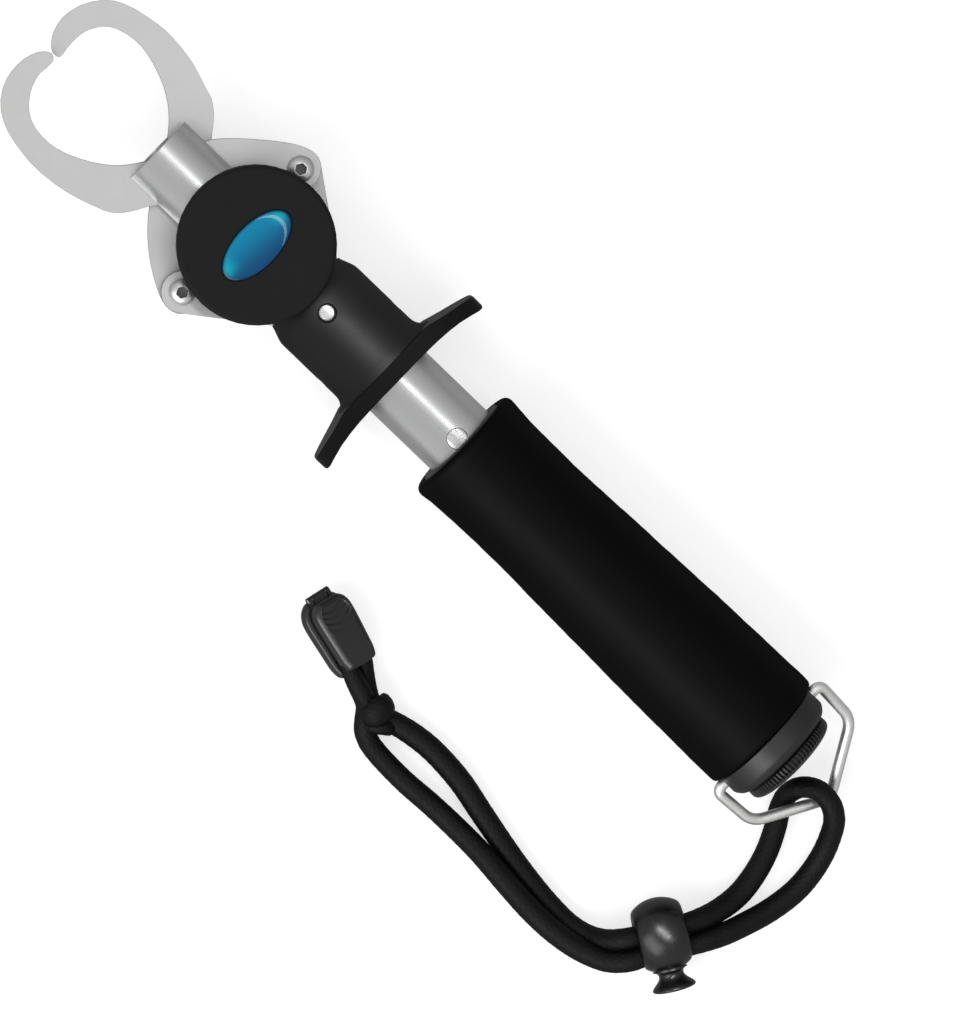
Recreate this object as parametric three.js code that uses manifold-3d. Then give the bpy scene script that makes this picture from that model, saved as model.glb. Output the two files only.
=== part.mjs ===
// Fishing lip grip: two crossing hook jaws on a pull-back trigger, a sliding
// barrel on a scale spring, a foam handle with a bail, and a cord lanyard with
// a spring lock and an end clip. Millimetres, +Z up, tool axis along X with the
// jaws towards -X and the handle end towards +X, lying on its rear cover.
import * as THREE from "three";
import { mergeVertices } from "three/addons/utils/BufferGeometryUtils.js";
import Module from "manifold-3d";

const wasm = await Module();
wasm.setup();

// ---------------------------------------------------------------- dimensions
// Stations are X positions along the tool axis; "half" sizes run either side of it.
const FIT = 0.07; // clearance of a pin in its hole, or a screw head on its plate
const CUT = 20; // half length of a cutter that passes right across the tool
const TRAVEL = 9.0; // trigger travel

const TUBE = { radius: 9.6, bore: 8.4, front: -31.9, rear: 158 };
const PLUG = { front: 60, rear: 71, radius: 8.3 };
const RIVET = { x: 65.7, radius: 2.5 };
const CROSS_PIN = { x: 34, radius: 1.5, half: 12.1, slotGap: 0.25 };
const JAW_PIVOT = { x: -14.0, radius: 2.45, half: 12.4 };
const ANCHOR = { x: 22.9, radius: 2.25 };

const PLATE = { thickness: 2.5, halfGap: 0.15 }; // jaws and links, in two layers
const PLATE_FACE = PLATE.halfGap + PLATE.thickness; // outer face of either layer
const EAR = { x: -4.5, y: 20.1, shank: 1.98 }; // pivots at +-y joining jaws to links
const EAR_SEAT = PLATE_FACE + FIT; // where the ear screw heads and nuts bear
const LINK_HALF_WIDTH = 5.0;

const COVER = { radius: 18.8, face: 13.6, inner: 11.15, skirt: 6.0, skirtBore: 17.2 };
const COVER_SCREW = { y: 6, rearShift: 0.9 }; // the front pair sits lower, under the badge
const BADGE = { halfX: 5.24, halfY: 10.48 };
const BADGE_RECESS = { halfX: 5.35, halfY: 10.6, floor: 12.7 };

const COLLAR = { radius: 12.7, neck: 11.2, bore: 9.7, spigot: 11.25, front: 9.5, rear: 41.7 };
const FLANGE = { halfY: 26.8, halfZ: 13.3 };

const HANDLE = { front: 67.4, outer: 12.2, bore: 11.05, spigot: 10.95 };
const FOAM = { front: 67.5, rear: 167.7, bore: 12.35 };
const ROD = { radius: 2.5, bushBore: 2.65, nutBore: 2.6 };
const BAIL = { x: 169.4, wire: 1.4, arm: 17.6, bend: 12.5, apex: 23.3, droop: 25 };

const CORD_RADIUS = 2.5;
const KNOT = { at: [99.8, -61.2, -11.0], radii: [4.6, 5.3, 4.6], turn: -10 };
const LOCK = { at: [184.94, -51.52, -7.3], turn: -32, radius: 9.1, flat: 6.1 };
const CLIP = { at: [79.0, -52.7, -9.85], turn: -16.2, tilt: -25 };

// ------------------------------------------------------------------- helpers
const DEG = Math.PI / 180;
const AXIS_SEG = 36; // facets round the main turned parts
const PIN_SEG = 18; // facets round pins and their holes
const HOLE_SEG = 24; // facets round holes in plates

const both = (half) => [-half, half];
const vector2 = ([x, y]) => new THREE.Vector2(x, y);

// A closed geometry as a solid, with its faces pointing out.
function solid(geometry) {
  geometry.deleteAttribute("normal");
  geometry.deleteAttribute("uv");
  const merged = mergeVertices(geometry, 1e-4);
  const vertProperties = new Float32Array(merged.attributes.position.array);
  const triVerts = new Uint32Array(merged.index.array);
  const build = () => new wasm.Manifold(new wasm.Mesh({ numProp: 3, vertProperties, triVerts }));
  const made = build();
  if (made.volume() > 0) return made;
  for (let i = 0; i < triVerts.length; i += 3) {
    [triVerts[i + 1], triVerts[i + 2]] = [triVerts[i + 2], triVerts[i + 1]];
  }
  return build();
}

function geometryOf(part) {
  const mesh = part.getMesh();
  return new THREE.BufferGeometry()
    .setAttribute("position", new THREE.BufferAttribute(new Float32Array(mesh.vertProperties), 3))
    .setIndex(new THREE.BufferAttribute(new Uint32Array(mesh.triVerts), 1));
}

// Profiles are [station along the axis, radius]; a lathe turns them about Y.
const lathe = (profile, seg) =>
  new THREE.LatheGeometry(profile.map(([along, radius]) => new THREE.Vector2(radius, along)), seg);
const turnX = (profile, seg = AXIS_SEG) => solid(lathe(profile, seg).rotateZ(-Math.PI / 2));
const turnZ = (profile, seg) => solid(lathe(profile, seg).rotateX(Math.PI / 2));
const ringX = (profile, seg) => turnX([...profile, profile[0]], seg);

// Round rods along each axis.
const rodProfile = ([from, to], radius) => [[from, 0], [from, radius], [to, radius], [to, 0]];
const rodX = (span, radius, seg) => turnX(rodProfile(span, radius), seg);
const rodY = (span, radius, seg, x) =>
  solid(lathe(rodProfile(span, radius), seg)).translate([x, 0, 0]);
const rodZ = (span, radius, { seg = PIN_SEG, x = 0, y = 0 } = {}) =>
  turnZ(rodProfile(span, radius), seg).translate([x, y, 0]);

// Box from its [low, high] span on each axis.
function box(...spans) {
  const sizes = spans.map(([low, high]) => high - low);
  const centre = spans.map(([low, high]) => (low + high) / 2);
  return solid(new THREE.BoxGeometry(...sizes).translate(...centre));
}

// XY outline extruded along Z, with holes as [x, y, radius].
function plate(outline, [bottom, top], holes = []) {
  const shape = new THREE.Shape(outline.map(vector2));
  for (const [x, y, radius] of holes) {
    const rim = polygon(HOLE_SEG, radius).map(([dx, dy]) => new THREE.Vector2(x + dx, y + dy));
    shape.holes.push(new THREE.Path().setFromPoints([...rim, rim[0]]));
  }
  const depth = top - bottom;
  const geometry = new THREE.ExtrudeGeometry(shape, { depth, bevelEnabled: false });
  return solid(geometry.translate(0, 0, bottom));
}

// YZ outline extruded along X.
function prismX(outline, [from, to]) {
  const shape = new THREE.Shape(outline.map(vector2));
  const depth = to - from;
  const geometry = new THREE.ExtrudeGeometry(shape, { depth, bevelEnabled: false });
  const axes = new THREE.Matrix4().set(0, 0, 1, from, 1, 0, 0, 0, 0, 1, 0, 0, 0, 0, 0, 1);
  return solid(geometry.applyMatrix4(axes));
}

function polygon(count, radius, startDeg = 0) {
  return Array.from({ length: count }, (_, i) => {
    const angle = (startDeg + (360 * i) / count) * DEG;
    return [radius * Math.cos(angle), radius * Math.sin(angle)];
  });
}

// Straight slot outline along X with round ends centred at x0 and x1.
function slotOutline(x0, x1, radius, steps) {
  const end = (x, startDeg) =>
    Array.from({ length: steps + 1 }, (_, i) => {
      const angle = (startDeg + (180 * i) / steps) * DEG;
      return [x + radius * Math.cos(angle), radius * Math.sin(angle)];
    });
  return [...end(x0, 90), ...end(x1, -90)];
}

// Half outline completed by its mirror image in Y.
const mirrorY = (half) => [...half, ...half.map(([x, y]) => [x, -y]).reverse()];

const curveThrough = (points, closed) =>
  new THREE.CatmullRomCurve3(points.map((p) => new THREE.Vector3(...p)), closed, "centripetal");

// Closed smooth outline through points.
const smooth = (points, count) =>
  curveThrough(points.map(([x, y]) => [x, y, 0]), true)
    .getPoints(count)
    .slice(0, count)
    .map((point) => [point.x, point.y]);

// Round bar swept along a curve.
function sweep(extrudePath, radius, steps, sides) {
  const section = new THREE.Shape(polygon(sides, radius, 180 / sides).map(vector2));
  return solid(new THREE.ExtrudeGeometry(section, { steps, bevelEnabled: false, extrudePath }));
}

class Helix extends THREE.Curve {
  constructor(from, to, radius, turns) {
    super();
    Object.assign(this, { from, to, radius, turns });
  }
  getPoint(t, target = new THREE.Vector3()) {
    const angle = 2 * Math.PI * this.turns * t;
    const x = this.from + (this.to - this.from) * t;
    return target.set(x, this.radius * Math.cos(angle), this.radius * Math.sin(angle));
  }
}

// Compression spring about X filling the span from one station to another.
function spring({ from, to, radius, turns, wire, sides }) {
  const stepsPerTurn = 10;
  const coil = new Helix(from + wire, to - wire, radius, turns);
  return sweep(coil, wire, turns * stepsPerTurn, sides);
}

// ----------------------------------------------------------------- materials
const material = (settings) => new THREE.MeshStandardMaterial(settings);
const steel = material({ color: 0xc9cbcc, roughness: 0.32, metalness: 1.0 });
const plateSteel = material({ color: 0xc4c6c7, roughness: 0.42, metalness: 1.0 });
const blackMetal = material({ color: 0x1b1c1d, roughness: 0.5, metalness: 0.4 });
const coverBlack = material({ color: 0x232323, roughness: 0.75, metalness: 0.1 });
const foam = material({ color: 0x0c0c0d, roughness: 0.95, metalness: 0.0 });
const greyPlastic = material({ color: 0x3a3b3d, roughness: 0.45, metalness: 0.1 });
const badgeBlue = material({ color: 0x1f74c8, roughness: 0.15, metalness: 0.0 });
const screwBlack = material({ color: 0x202123, roughness: 0.35, metalness: 0.8 });
const springSteel = material({ color: 0x8f9294, roughness: 0.3, metalness: 1.0 });
const cordBlack = material({ color: 0x111112, roughness: 0.9, metalness: 0.0 });
const glossPlastic = material({ color: 0x2b2c2e, roughness: 0.25, metalness: 0.0 });

const tool = new THREE.Group();
tool.position.z = COVER.face;

function add(name, part, finish, parent = tool) {
  const mesh = new THREE.Mesh(geometryOf(part), finish);
  mesh.name = name;
  parent.add(mesh);
}

// ------------------------------------------------------------------- barrel
// Steel tube, forked by the side slots the jaws and links swing in, with top
// and bottom slots for the travelling jaw pivot and side slots for the cross pin.
function barrelTube() {
  const { front, rear, radius, bore } = TUBE;
  const lip = 0.2;
  const pivotSlot = slotOutline(JAW_PIVOT.x, JAW_PIVOT.x + TRAVEL, JAW_PIVOT.radius + 0.2, 10);
  const pinSlot = { half: CROSS_PIN.radius + CROSS_PIN.slotGap, end: CROSS_PIN.x + TRAVEL };
  return ringX([
    [front, bore], [front, radius - lip], [front + lip, radius], [rear, radius], [rear, bore],
  ])
    .subtract(box([front - 2, 21.5], both(CUT), both(3.0)))
    .subtract(plate(pivotSlot, both(CUT)))
    .subtract(rodZ(both(CUT), ANCHOR.radius + FIT, { x: ANCHOR.x }))
    .subtract(rodZ(both(CUT), RIVET.radius + FIT, { x: RIVET.x }))
    .subtract(box([CROSS_PIN.x, pinSlot.end], both(CUT), both(pinSlot.half)))
    .subtract(rodY(both(CUT), pinSlot.half, 16, CROSS_PIN.x))
    .subtract(rodY(both(CUT), pinSlot.half, 16, pinSlot.end));
}
add("barrel_tube", barrelTube(), steel);

// Pin the two links hang on, fixed across the tube, with domed ends.
function anchorPin() {
  const end = [[9.8, ANCHOR.radius], [10.2, 2.1], [10.7, 1.65], [11.05, 0.9], [11.15, 0]];
  const otherEnd = end.map(([z, radius]) => [-z, radius]).reverse();
  return turnZ([...otherEnd, ...end], 24).translate([ANCHOR.x, 0, 0]);
}
add("link_anchor_pin", anchorPin(), steel);

// Plug behind the trigger spring, held by a flush cross rivet.
const rivetHole = rodZ(both(CUT), RIVET.radius + FIT, { x: RIVET.x });
add("spring_plug", rodX([PLUG.front, PLUG.rear], PLUG.radius).subtract(rivetHole), springSteel);
const rivetBlank = rodZ(both(12), RIVET.radius, { x: RIVET.x });
add("plug_rivet", rivetBlank.intersect(rodX([50, 80], TUBE.radius)), steel);

// Guide bush crimped in the tube's rear end; the scale spring pushes on it.
function tubeEndBush() {
  const flangeFront = TUBE.rear + 0.15;
  return ringX([
    [150, ROD.bushBore], [150, PLUG.radius], [flangeFront, PLUG.radius],
    [flangeFront, HANDLE.spigot], [161, HANDLE.spigot], [161, ROD.bushBore],
  ], 28);
}
add("tube_end_bush", tubeEndBush(), greyPlastic);

// ---------------------------------------------------- trigger and its spring
const triggerSpring = { from: 39.4, to: 59.7, radius: 5.8, turns: 5, wire: 0.65, sides: 5 };
add("trigger_spring", spring(triggerSpring), springSteel);

const crossPinHole = rodY(both(CUT), CROSS_PIN.radius + FIT, 16, CROSS_PIN.x);
const plunger = turnX([[29, 0], [29, 7.4], [29.6, 8.2], [39, 8.2], [39, 0]], 32);
add("trigger_plunger", plunger.subtract(crossPinHole), greyPlastic);
add("plunger_pin", rodY(both(CROSS_PIN.half), CROSS_PIN.radius, 16, CROSS_PIN.x), steel);

// Start of the flare from the sleeve's neck to its collar, [x, radius].
const FLARE = [[16.2, COLLAR.neck], [17.5, 11.5], [19.2, 12.15]];

// Sleeve that rides on the tube: neck, flare, collar and a spigot for the
// finger flange. Two tongues reach forward under the covers.
function triggerSleeve() {
  const { front, rear, neck, bore, radius, spigot } = COLLAR;
  const body = ringX([
    [front, bore], [front, neck], ...FLARE, [20.4, 12.58], [21.6, radius],
    [39.2, radius], [40.4, 12.85], [41.2, 13.1], [rear, 13.3],
    [rear, spigot], [45.8, spigot], [45.8, bore],
  ]);
  const tongues = box([-8, 12], both(8.2), both(11))
    .subtract(box([-9, 13], both(9), both(6.9)))
    .subtract(rodX([-10, 14], bore));
  const anchorSlot = box([ANCHOR.x - TRAVEL - 2.7, ANCHOR.x], both(2.6), both(11.35));
  let sleeve = body
    .add(tongues)
    .subtract(box([5, 19.6], both(CUT), both(3.1)))
    .subtract(anchorSlot)
    .subtract(rodZ(both(CUT), 2.5, { seg: 20, x: ANCHOR.x }))
    .subtract(crossPinHole);
  for (const y of both(COVER_SCREW.y)) {
    sleeve = sleeve.subtract(rodZ(both(CUT), 1.3, { seg: 12, y }));
  }
  return sleeve;
}
add("trigger_sleeve", triggerSleeve(), blackMetal);

// Finger flange on the +Y side, seen along Z, [x, y]: front edge out, rear edge back.
const FLANGE_HALF = [
  [41.9, 13.4], [42.05, 14.6], [42.6, 16.4], [43.25, 18.7], [43.9, 21.4], [44.6, 24.2],
  [45.15, 26.3], [45.5, 26.7], [48.5, 26.65], [48.95, 26.3], [48.8, 25.2], [48.0, 22.9],
  [47.15, 19.9], [46.6, 16.6], [46.25, 13.2], [46.1, 10.0], [46.0, 6.0],
];
// One quarter of its oval seen along X, [y, z].
const FLANGE_QUARTER = [
  [FLANGE.halfY, 0], [FLANGE.halfY, 3.4], [25.6, 6.2], [21.5, 9.2], [14.5, 11.8], [7.0, 13.0],
  [0, FLANGE.halfZ],
];

// An oval plate with swept-back wings.
function fingerFlange() {
  const nextQuarter = FLANGE_QUARTER.slice(1, -1).map(([y, z]) => [-y, z]).reverse();
  const upper = [...FLANGE_QUARTER, ...nextQuarter];
  const oval = smooth([...upper, ...upper.map(([y, z]) => [-y, -z])], 72);
  const span = [35, 55];
  return plate(mirrorY(FLANGE_HALF), both(CUT))
    .intersect(prismX(oval, span))
    .subtract(rodX(span, COLLAR.spigot + 0.1));
}
add("finger_flange", fingerFlange(), blackMetal);

// ------------------------------------------------------------------- covers
// Parts are drawn for the front (+Z) side; the rear ones are turned over about X.
const SIDES = { front: 1, rear: -1 };
const placeOn = (side, part) => (side > 0 ? part : part.rotate([180, 0, 0]));
const screwShift = (side) => (side > 0 ? 0 : COVER_SCREW.rearShift);

// Round cover beside the linkage, skirted down past the tube.
function cover(side) {
  const { radius, face, inner, skirt, skirtBore } = COVER;
  const sleeveGap = 0.3;
  let body = turnZ([
    [inner, 0], [inner, skirtBore], [skirt, skirtBore], [skirt, radius],
    [12.75, radius], [13.2, 18.6], [13.48, 18.15], [face, 17.5], [face, 0],
  ], 48);
  body = body.subtract(rodX([-25, 25], 9.95));
  const sleeveRoom = [
    [9, 0], [9, COLLAR.neck + sleeveGap], ...FLARE.map(([x, r]) => [x, r + sleeveGap]),
    [20.4, 12.9], [20.4, 0],
  ];
  body = body.subtract(turnX(sleeveRoom));
  body = body.subtract(rodZ([5, 12.5], JAW_PIVOT.radius + 0.05, { x: JAW_PIVOT.x }));
  const shift = screwShift(side);
  for (const y of both(COVER_SCREW.y)) {
    const hole = turnZ([
      [8, 0], [8, 1.35], [11.3 + shift, 1.35], [12.66 + shift, 2.75], [15, 2.75], [15, 0],
    ], 16);
    body = body.subtract(hole.translate([0, y, 0]));
  }
  if (side > 0) {
    const recess = rodZ([BADGE_RECESS.floor, 15], 1, { seg: 40 });
    body = body.subtract(recess.scale([BADGE_RECESS.halfX, BADGE_RECESS.halfY, 1]));
  }
  return placeOn(side, body);
}
for (const [name, side] of Object.entries(SIDES)) add(`${name}_cover`, cover(side), coverBlack);

// Domed oval badge in the front cover's recess, turned at unit radius and stretched.
const badgeDome = [
  [12.75, 0], [12.75, 1], [13.65, 1], [13.95, 0.93], [14.2, 0.78], [14.38, 0.55],
  [14.48, 0.28], [14.5, 0],
];
add("cover_badge", turnZ(badgeDome, 36).scale([BADGE.halfX, BADGE.halfY, 1]), badgeBlue);

// Countersunk cover screw with a hexagon socket.
function coverScrew(side, y) {
  const shift = screwShift(side);
  const top = 12.6 + shift;
  const screw = turnZ([
    [8.75, 0], [8.75, 1.2], [11.36 + shift, 1.2], [12.56 + shift, 2.45], [top, 2.45], [top, 0],
  ], 14);
  const socket = plate(polygon(6, 1.15), [11.6 + shift, 14]);
  return placeOn(side, screw.subtract(socket).translate([0, y, 0]));
}
for (const [name, side] of Object.entries(SIDES)) {
  add(`${name}_cover_screw_1`, coverScrew(side, COVER_SCREW.y), screwBlack);
  add(`${name}_cover_screw_2`, coverScrew(side, -COVER_SCREW.y), screwBlack);
}

// Pivot the two jaws turn on, carried by the covers.
add("jaw_pivot_pin", rodZ(both(JAW_PIVOT.half), JAW_PIVOT.radius, { x: JAW_PIVOT.x }), steel);

// --------------------------------------------------------- jaws and linkage
// Jaw outlines, [x, y], each starting at the hook tip.
const JAW_A = [
  [-63.81,-2.02], [-64.05,-6.31], [-63.1,-9.88], [-60.71,-13.45], [-57.14,-15.83],
  [-52.38,-16.55], [-47.62,-15.83], [-41.67,-13.21], [-37.38,-10.36], [-34.52,-7.5],
  [-31.9,-3.69], [-28.1,3.69], [-24.29,10.6], [-20.48,14.64], [-16.67,17.98],
  [-13.1,20.83], [-9.52,23.33], [-7.14,24.52], [-4.76,25.12], [-2.38,24.6],
  [-0.71,22.98], [0.24,20.6], [-0.24,17.98], [-2.38,14.17], [-4.76,9.88],
  [-6.67,5.12], [-8.1,0.36], [-10.0,-3.45], [-13.81,-5.48], [-18.1,-6.31],
  [-21.19,-7.74], [-23.1,-9.64], [-24.29,-11.31], [-26.19,-14.64], [-29.05,-17.98],
  [-33.33,-19.88], [-40.48,-22.02], [-48.81,-22.98], [-54.76,-22.5], [-60.71,-21.07],
  [-65.48,-18.21], [-68.57,-13.45], [-69.29,-9.17], [-68.81,-5.12], [-67.14,-2.02],
  [-65.24,-0.95],
];
const JAW_B = [
  [-63.33,-0.36], [-63.57,2.74], [-63.57,5.6], [-63.1,8.45], [-60.71,12.26],
  [-57.14,14.17], [-52.38,14.88], [-47.62,14.17], [-41.67,12.02], [-38.1,9.88],
  [-35.24,7.5], [-31.9,3.45], [-27.86,-3.93], [-23.81,-11.07], [-20.24,-15.36],
  [-16.67,-18.69], [-13.1,-21.31], [-9.52,-23.45], [-6.67,-24.76], [-4.29,-25.24],
  [-1.9,-24.71], [-0.12,-23.1], [0.83,-20.6], [0.24,-17.98], [-1.9,-14.17],
  [-4.29,-9.88], [-6.19,-5.12], [-7.62,-0.36], [-9.52,3.45], [-13.81,5.48],
  [-18.1,6.31], [-21.67,7.98], [-24.29,10.6], [-27.86,15.12], [-30.95,17.5],
  [-33.33,18.21], [-40.48,20.6], [-48.81,21.55], [-52.38,21.31], [-59.52,19.88],
  [-64.29,17.5], [-67.86,12.74], [-69.29,7.5], [-68.57,3.21], [-67.14,0.83],
  [-65.24,-0.71],
];
const UPPER_LAYER = [PLATE.halfGap, PLATE_FACE];
const LOWER_LAYER = [-PLATE_FACE, -PLATE.halfGap];

function jaw(outline, layer, earY) {
  const pivotHole = [JAW_PIVOT.x, 0, JAW_PIVOT.radius + 0.1];
  return plate(smooth(outline, 96), layer, [pivotHole, [EAR.x, earY, EAR.shank + FIT]]);
}
add("jaw_a", jaw(JAW_A, UPPER_LAYER, EAR.y), plateSteel);
add("jaw_b", jaw(JAW_B, LOWER_LAYER, -EAR.y), plateSteel);

// A link from an ear pivot back to the anchor pin; its ear hole is larger.
function link(earY, layer) {
  const dx = ANCHOR.x - EAR.x;
  const length = Math.hypot(dx, earY);
  const holes = [[0, 0, 2.45], [length, 0, ANCHOR.radius + 0.1]];
  return plate(slotOutline(0, length, LINK_HALF_WIDTH, 12), layer, holes)
    .rotate([0, 0, Math.atan2(-earY, dx) / DEG])
    .translate([EAR.x, earY, 0]);
}
add("link_a", link(EAR.y, LOWER_LAYER), plateSteel);
add("link_b", link(-EAR.y, UPPER_LAYER), plateSteel);

// Socket-head pivot screw.
function pivotScrew(y) {
  const screw = turnZ([
    [-4.9, 0], [-4.9, EAR.shank], [EAR_SEAT, EAR.shank], [EAR_SEAT, 3.2], [3.2, 3.2],
    [3.75, 3.0], [4.25, 2.6], [4.6, 2.0], [4.75, 1.55], [4.75, 0],
  ], 20);
  return screw.subtract(plate(polygon(6, 1.5), [3.2, 6])).translate([EAR.x, y, 0]);
}
function pivotNut(y) {
  const hole = [0, 0, EAR.shank + FIT];
  return plate(polygon(6, 3.4, 30), [-4.75, -EAR_SEAT], [hole]).translate([EAR.x, y, 0]);
}
for (const [name, y] of [["jaw_a", EAR.y], ["jaw_b", -EAR.y]]) {
  add(`${name}_screw`, pivotScrew(y), steel);
  add(`${name}_nut`, pivotNut(y), steel);
}

// ------------------------------------------------------------------- handle
function handleSleeve() {
  const { bore, outer } = HANDLE;
  return ringX([[69.1, bore], [69.1, outer], [167.8, outer], [167.8, bore]], 32);
}
add("handle_sleeve", handleSleeve(), greyPlastic);

function mouthBush() {
  const { front, outer, spigot } = HANDLE;
  return ringX([
    [front, COLLAR.bore], [front, 11.9], [67.7, outer], [68.95, outer],
    [68.95, spigot], [79, spigot], [79, COLLAR.bore],
  ]);
}
add("mouth_bush", mouthBush(), greyPlastic);

const foamProfile = [
  [FOAM.front, FOAM.bore], [FOAM.front, 13.6], [67.9, 14.1], [69.3, 15.0], [71.4, 15.5],
  [76.2, 15.0], [84, 14.75], [95, 14.76], [119, 15.5], [138, 16.0], [155, 16.35],
  [166.2, 16.4], [FOAM.rear, 15.0], [FOAM.rear, FOAM.bore],
];
add("foam_grip", ringX(foamProfile), foam);

// Rear collar: outer ring, spigot in the sleeve, end wall round the rod, and
// two side holes for the bail.
function endCollar() {
  const holeInner = 12.4;
  return ringX([
    [162.5, 8.6], [162.5, HANDLE.spigot], [168.0, HANDLE.spigot], [168.0, 14.8],
    [172.4, 14.8], [173.6, 14.2], [174.4, 13.3], [174.8, 12.6],
    [174.8, ROD.bushBore], [171.5, ROD.bushBore], [171.5, 8.6],
  ])
    .subtract(rodY([holeInner, CUT], BAIL.wire + 0.1, 16, BAIL.x))
    .subtract(rodY([-CUT, -holeInner], BAIL.wire + 0.1, 16, BAIL.x));
}
add("end_collar", endCollar(), greyPlastic);

// Ribbed zero-adjust knob, with the scale rod screwed into it.
function zeroKnob() {
  const ribs = 36;
  // One rib and groove: [fraction of the rib pitch, radius].
  const rib = [[0.0, 12.4], [0.5, 12.4], [0.62, 11.95], [0.88, 11.95]];
  const outline = [];
  for (let i = 0; i < ribs; i++) {
    for (const [fraction, radius] of rib) {
      const angle = (2 * Math.PI * (i + fraction)) / ribs;
      outline.push([radius * Math.cos(angle), radius * Math.sin(angle)]);
    }
  }
  const dome = turnX([
    [174.9, 0], [174.9, 12.5], [176.9, 12.5], [177.7, 11.7], [178.3, 10.2], [178.8, 7.5],
    [179.1, 4], [179.2, 0],
  ]);
  return prismX(outline, [175.0, 179.4])
    .intersect(dome)
    .subtract(rodX([170, 177.4], ROD.radius + FIT, 24));
}
add("zero_knob", zeroKnob(), blackMetal);

const rodOutline = [[78, 0], [78, 2.2], [78.3, ROD.radius], [177.2, ROD.radius], [177.2, 0]];
add("scale_rod", turnX(rodOutline, 24), springSteel);
const nutBore = rodX([78, 90], ROD.nutBore, 24);
add("rod_nut", prismX(polygon(6, 5.6), [79.5, 84]).subtract(nutBore), springSteel);
const washer = [[84.1, ROD.nutBore], [84.1, 7.6], [85.2, 7.6], [85.2, ROD.nutBore]];
add("rod_washer", ringX(washer, 32), springSteel);
const scaleSpring = { from: 85.4, to: 149.8, radius: 6.0, turns: 10, wire: 0.8, sides: 5 };
add("scale_spring", spring(scaleSpring), springSteel);

// --------------------------------------------------------------------- bail
// Wire bail: ends turned into the collar, arms, and a peaked apex, drooping.
function bailWire() {
  const { x, wire, arm, bend, apex, droop } = BAIL;
  const bendY = arm - 0.6;
  // Corners, [x, y, length of the rounding along each leg].
  const corners = [
    [0, 12.9, 0], [0, arm, 2.2], [bend, bendY, 3.2], [apex, 0, 3.4],
    [bend, -bendY, 3.2], [0, -arm, 2.2], [0, -12.9, 0],
  ];
  const points = corners.flatMap(([cornerX, cornerY, reach], i) => {
    const corner = new THREE.Vector3(cornerX, cornerY, 0);
    if (!reach) return [corner];
    const towards = ([nearX, nearY]) =>
      new THREE.Vector3(nearX, nearY, 0).sub(corner).normalize();
    const before = towards(corners[i - 1]);
    const after = towards(corners[i + 1]);
    return [0, 0.25, 0.5, 0.75, 1].map((t) =>
      corner
        .clone()
        .addScaledVector(before, reach * (1 - t) ** 2)
        .addScaledVector(after, reach * t ** 2),
    );
  });
  const path = new THREE.CurvePath();
  for (let i = 0; i + 1 < points.length; i++) {
    path.add(new THREE.LineCurve3(points[i], points[i + 1]));
  }
  return sweep(path, wire, 54, 8).rotate([0, droop, 0]).translate([x, 0, 0]);
}
add("bail_wire", bailWire(), steel);

// ------------------------------------------------------------------ lanyard
// One cord, [x, y, z]: clip, knot, wrist loop, lock, over the bail, back through
// the lock, and home to the knot and clip.
const CORD = [
  [85.46,-51.98,-11.0], [88.33,-52.82,-11.0], [91.2,-53.7,-11.0], [94.2,-55.4,-11.1],
  [97.0,-57.5,-11.0], [99.6,-58.9,-10.9], [103.3,-58.9,-12.2], [108.62,-58.1,-13.6],
  [113.95,-56.96,-13.8], [120.1,-56.49,-13.8], [126.52,-57.42,-13.8], [132.06,-59.17,-13.8],
  [137.63,-60.7,-13.8], [143.47,-61.6,-13.8], [153.2,-62.3,-13.7], [161.0,-63.3,-13.5],
  [168.26,-63.2,-12.6], [174.4,-61.5,-9.8], [177.4,-60.2,-8.1], [179.2,-58.54,-7.3],
  [180.79,-56.0,-7.3], [183.97,-50.91,-7.3], [187.15,-45.82,-7.3], [188.74,-43.28,-7.4],
  [190.9,-38.4,-9.4], [191.9,-32.0,-12.2], [191.3,-25.85,-13.3], [189.41,-19.66,-13.5],
  [186.7,-14.3,-13.5], [184.3,-10.6,-12.9], [182.9,-7.0,-10.6], [183.9,-3.3,-7.8],
  [187.3,-1.3,-5.3], [191.0,-1.6,-4.7], [193.9,-3.4,-6.2], [196.3,-6.8,-8.6],
  [198.4,-11.13,-11.0], [199.9,-16.75,-12.8], [200.4,-22.2,-13.6], [199.9,-28.9,-13.4],
  [198.2,-36.0,-11.9], [196.0,-41.4,-9.4], [193.23,-46.09,-7.4], [191.64,-48.63,-7.3],
  [188.46,-53.72,-7.3], [185.28,-58.81,-7.3], [183.69,-61.35,-7.4], [179.9,-65.2,-9.3],
  [173.8,-67.6,-12.0], [166.6,-68.7,-13.6], [158.99,-69.0,-13.8], [150.62,-68.6,-13.8],
  [140.32,-67.3,-13.8], [132.22,-67.29,-13.8], [124.13,-67.44,-13.8], [116.01,-68.17,-13.8],
  [109.88,-68.08,-13.8], [104.6,-66.9,-13.0], [100.8,-64.6,-11.4], [97.9,-62.9,-10.7],
  [95.2,-61.2,-10.2], [92.3,-59.5,-9.3], [89.8,-58.44,-8.7], [86.94,-57.6,-8.69],
  [84.06,-56.76,-8.69],
];

function wristCord() {
  const knot = new THREE.SphereGeometry(1, 12, 8)
    .scale(...KNOT.radii)
    .rotateZ(KNOT.turn * DEG)
    .translate(...KNOT.at);
  return sweep(curveThrough(CORD, false), CORD_RADIUS, 100, 6).add(solid(knot));
}
add("wrist_cord", wristCord(), cordBlack);

// Group at a place on the tool, turned about Z.
function groupAt({ at, turn }) {
  const group = new THREE.Group();
  group.position.set(...at);
  group.rotation.z = turn * DEG;
  tool.add(group);
  return group;
}

// Cord lock: a flatted ball with a cross tunnel for the two strands and a
// sprung button. Local frame: X along the button, Y along the strands.
const lock = groupAt(LOCK);
const strandTunnel = (end) => box([-3.85, end], both(12), both(2.9));

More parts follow.
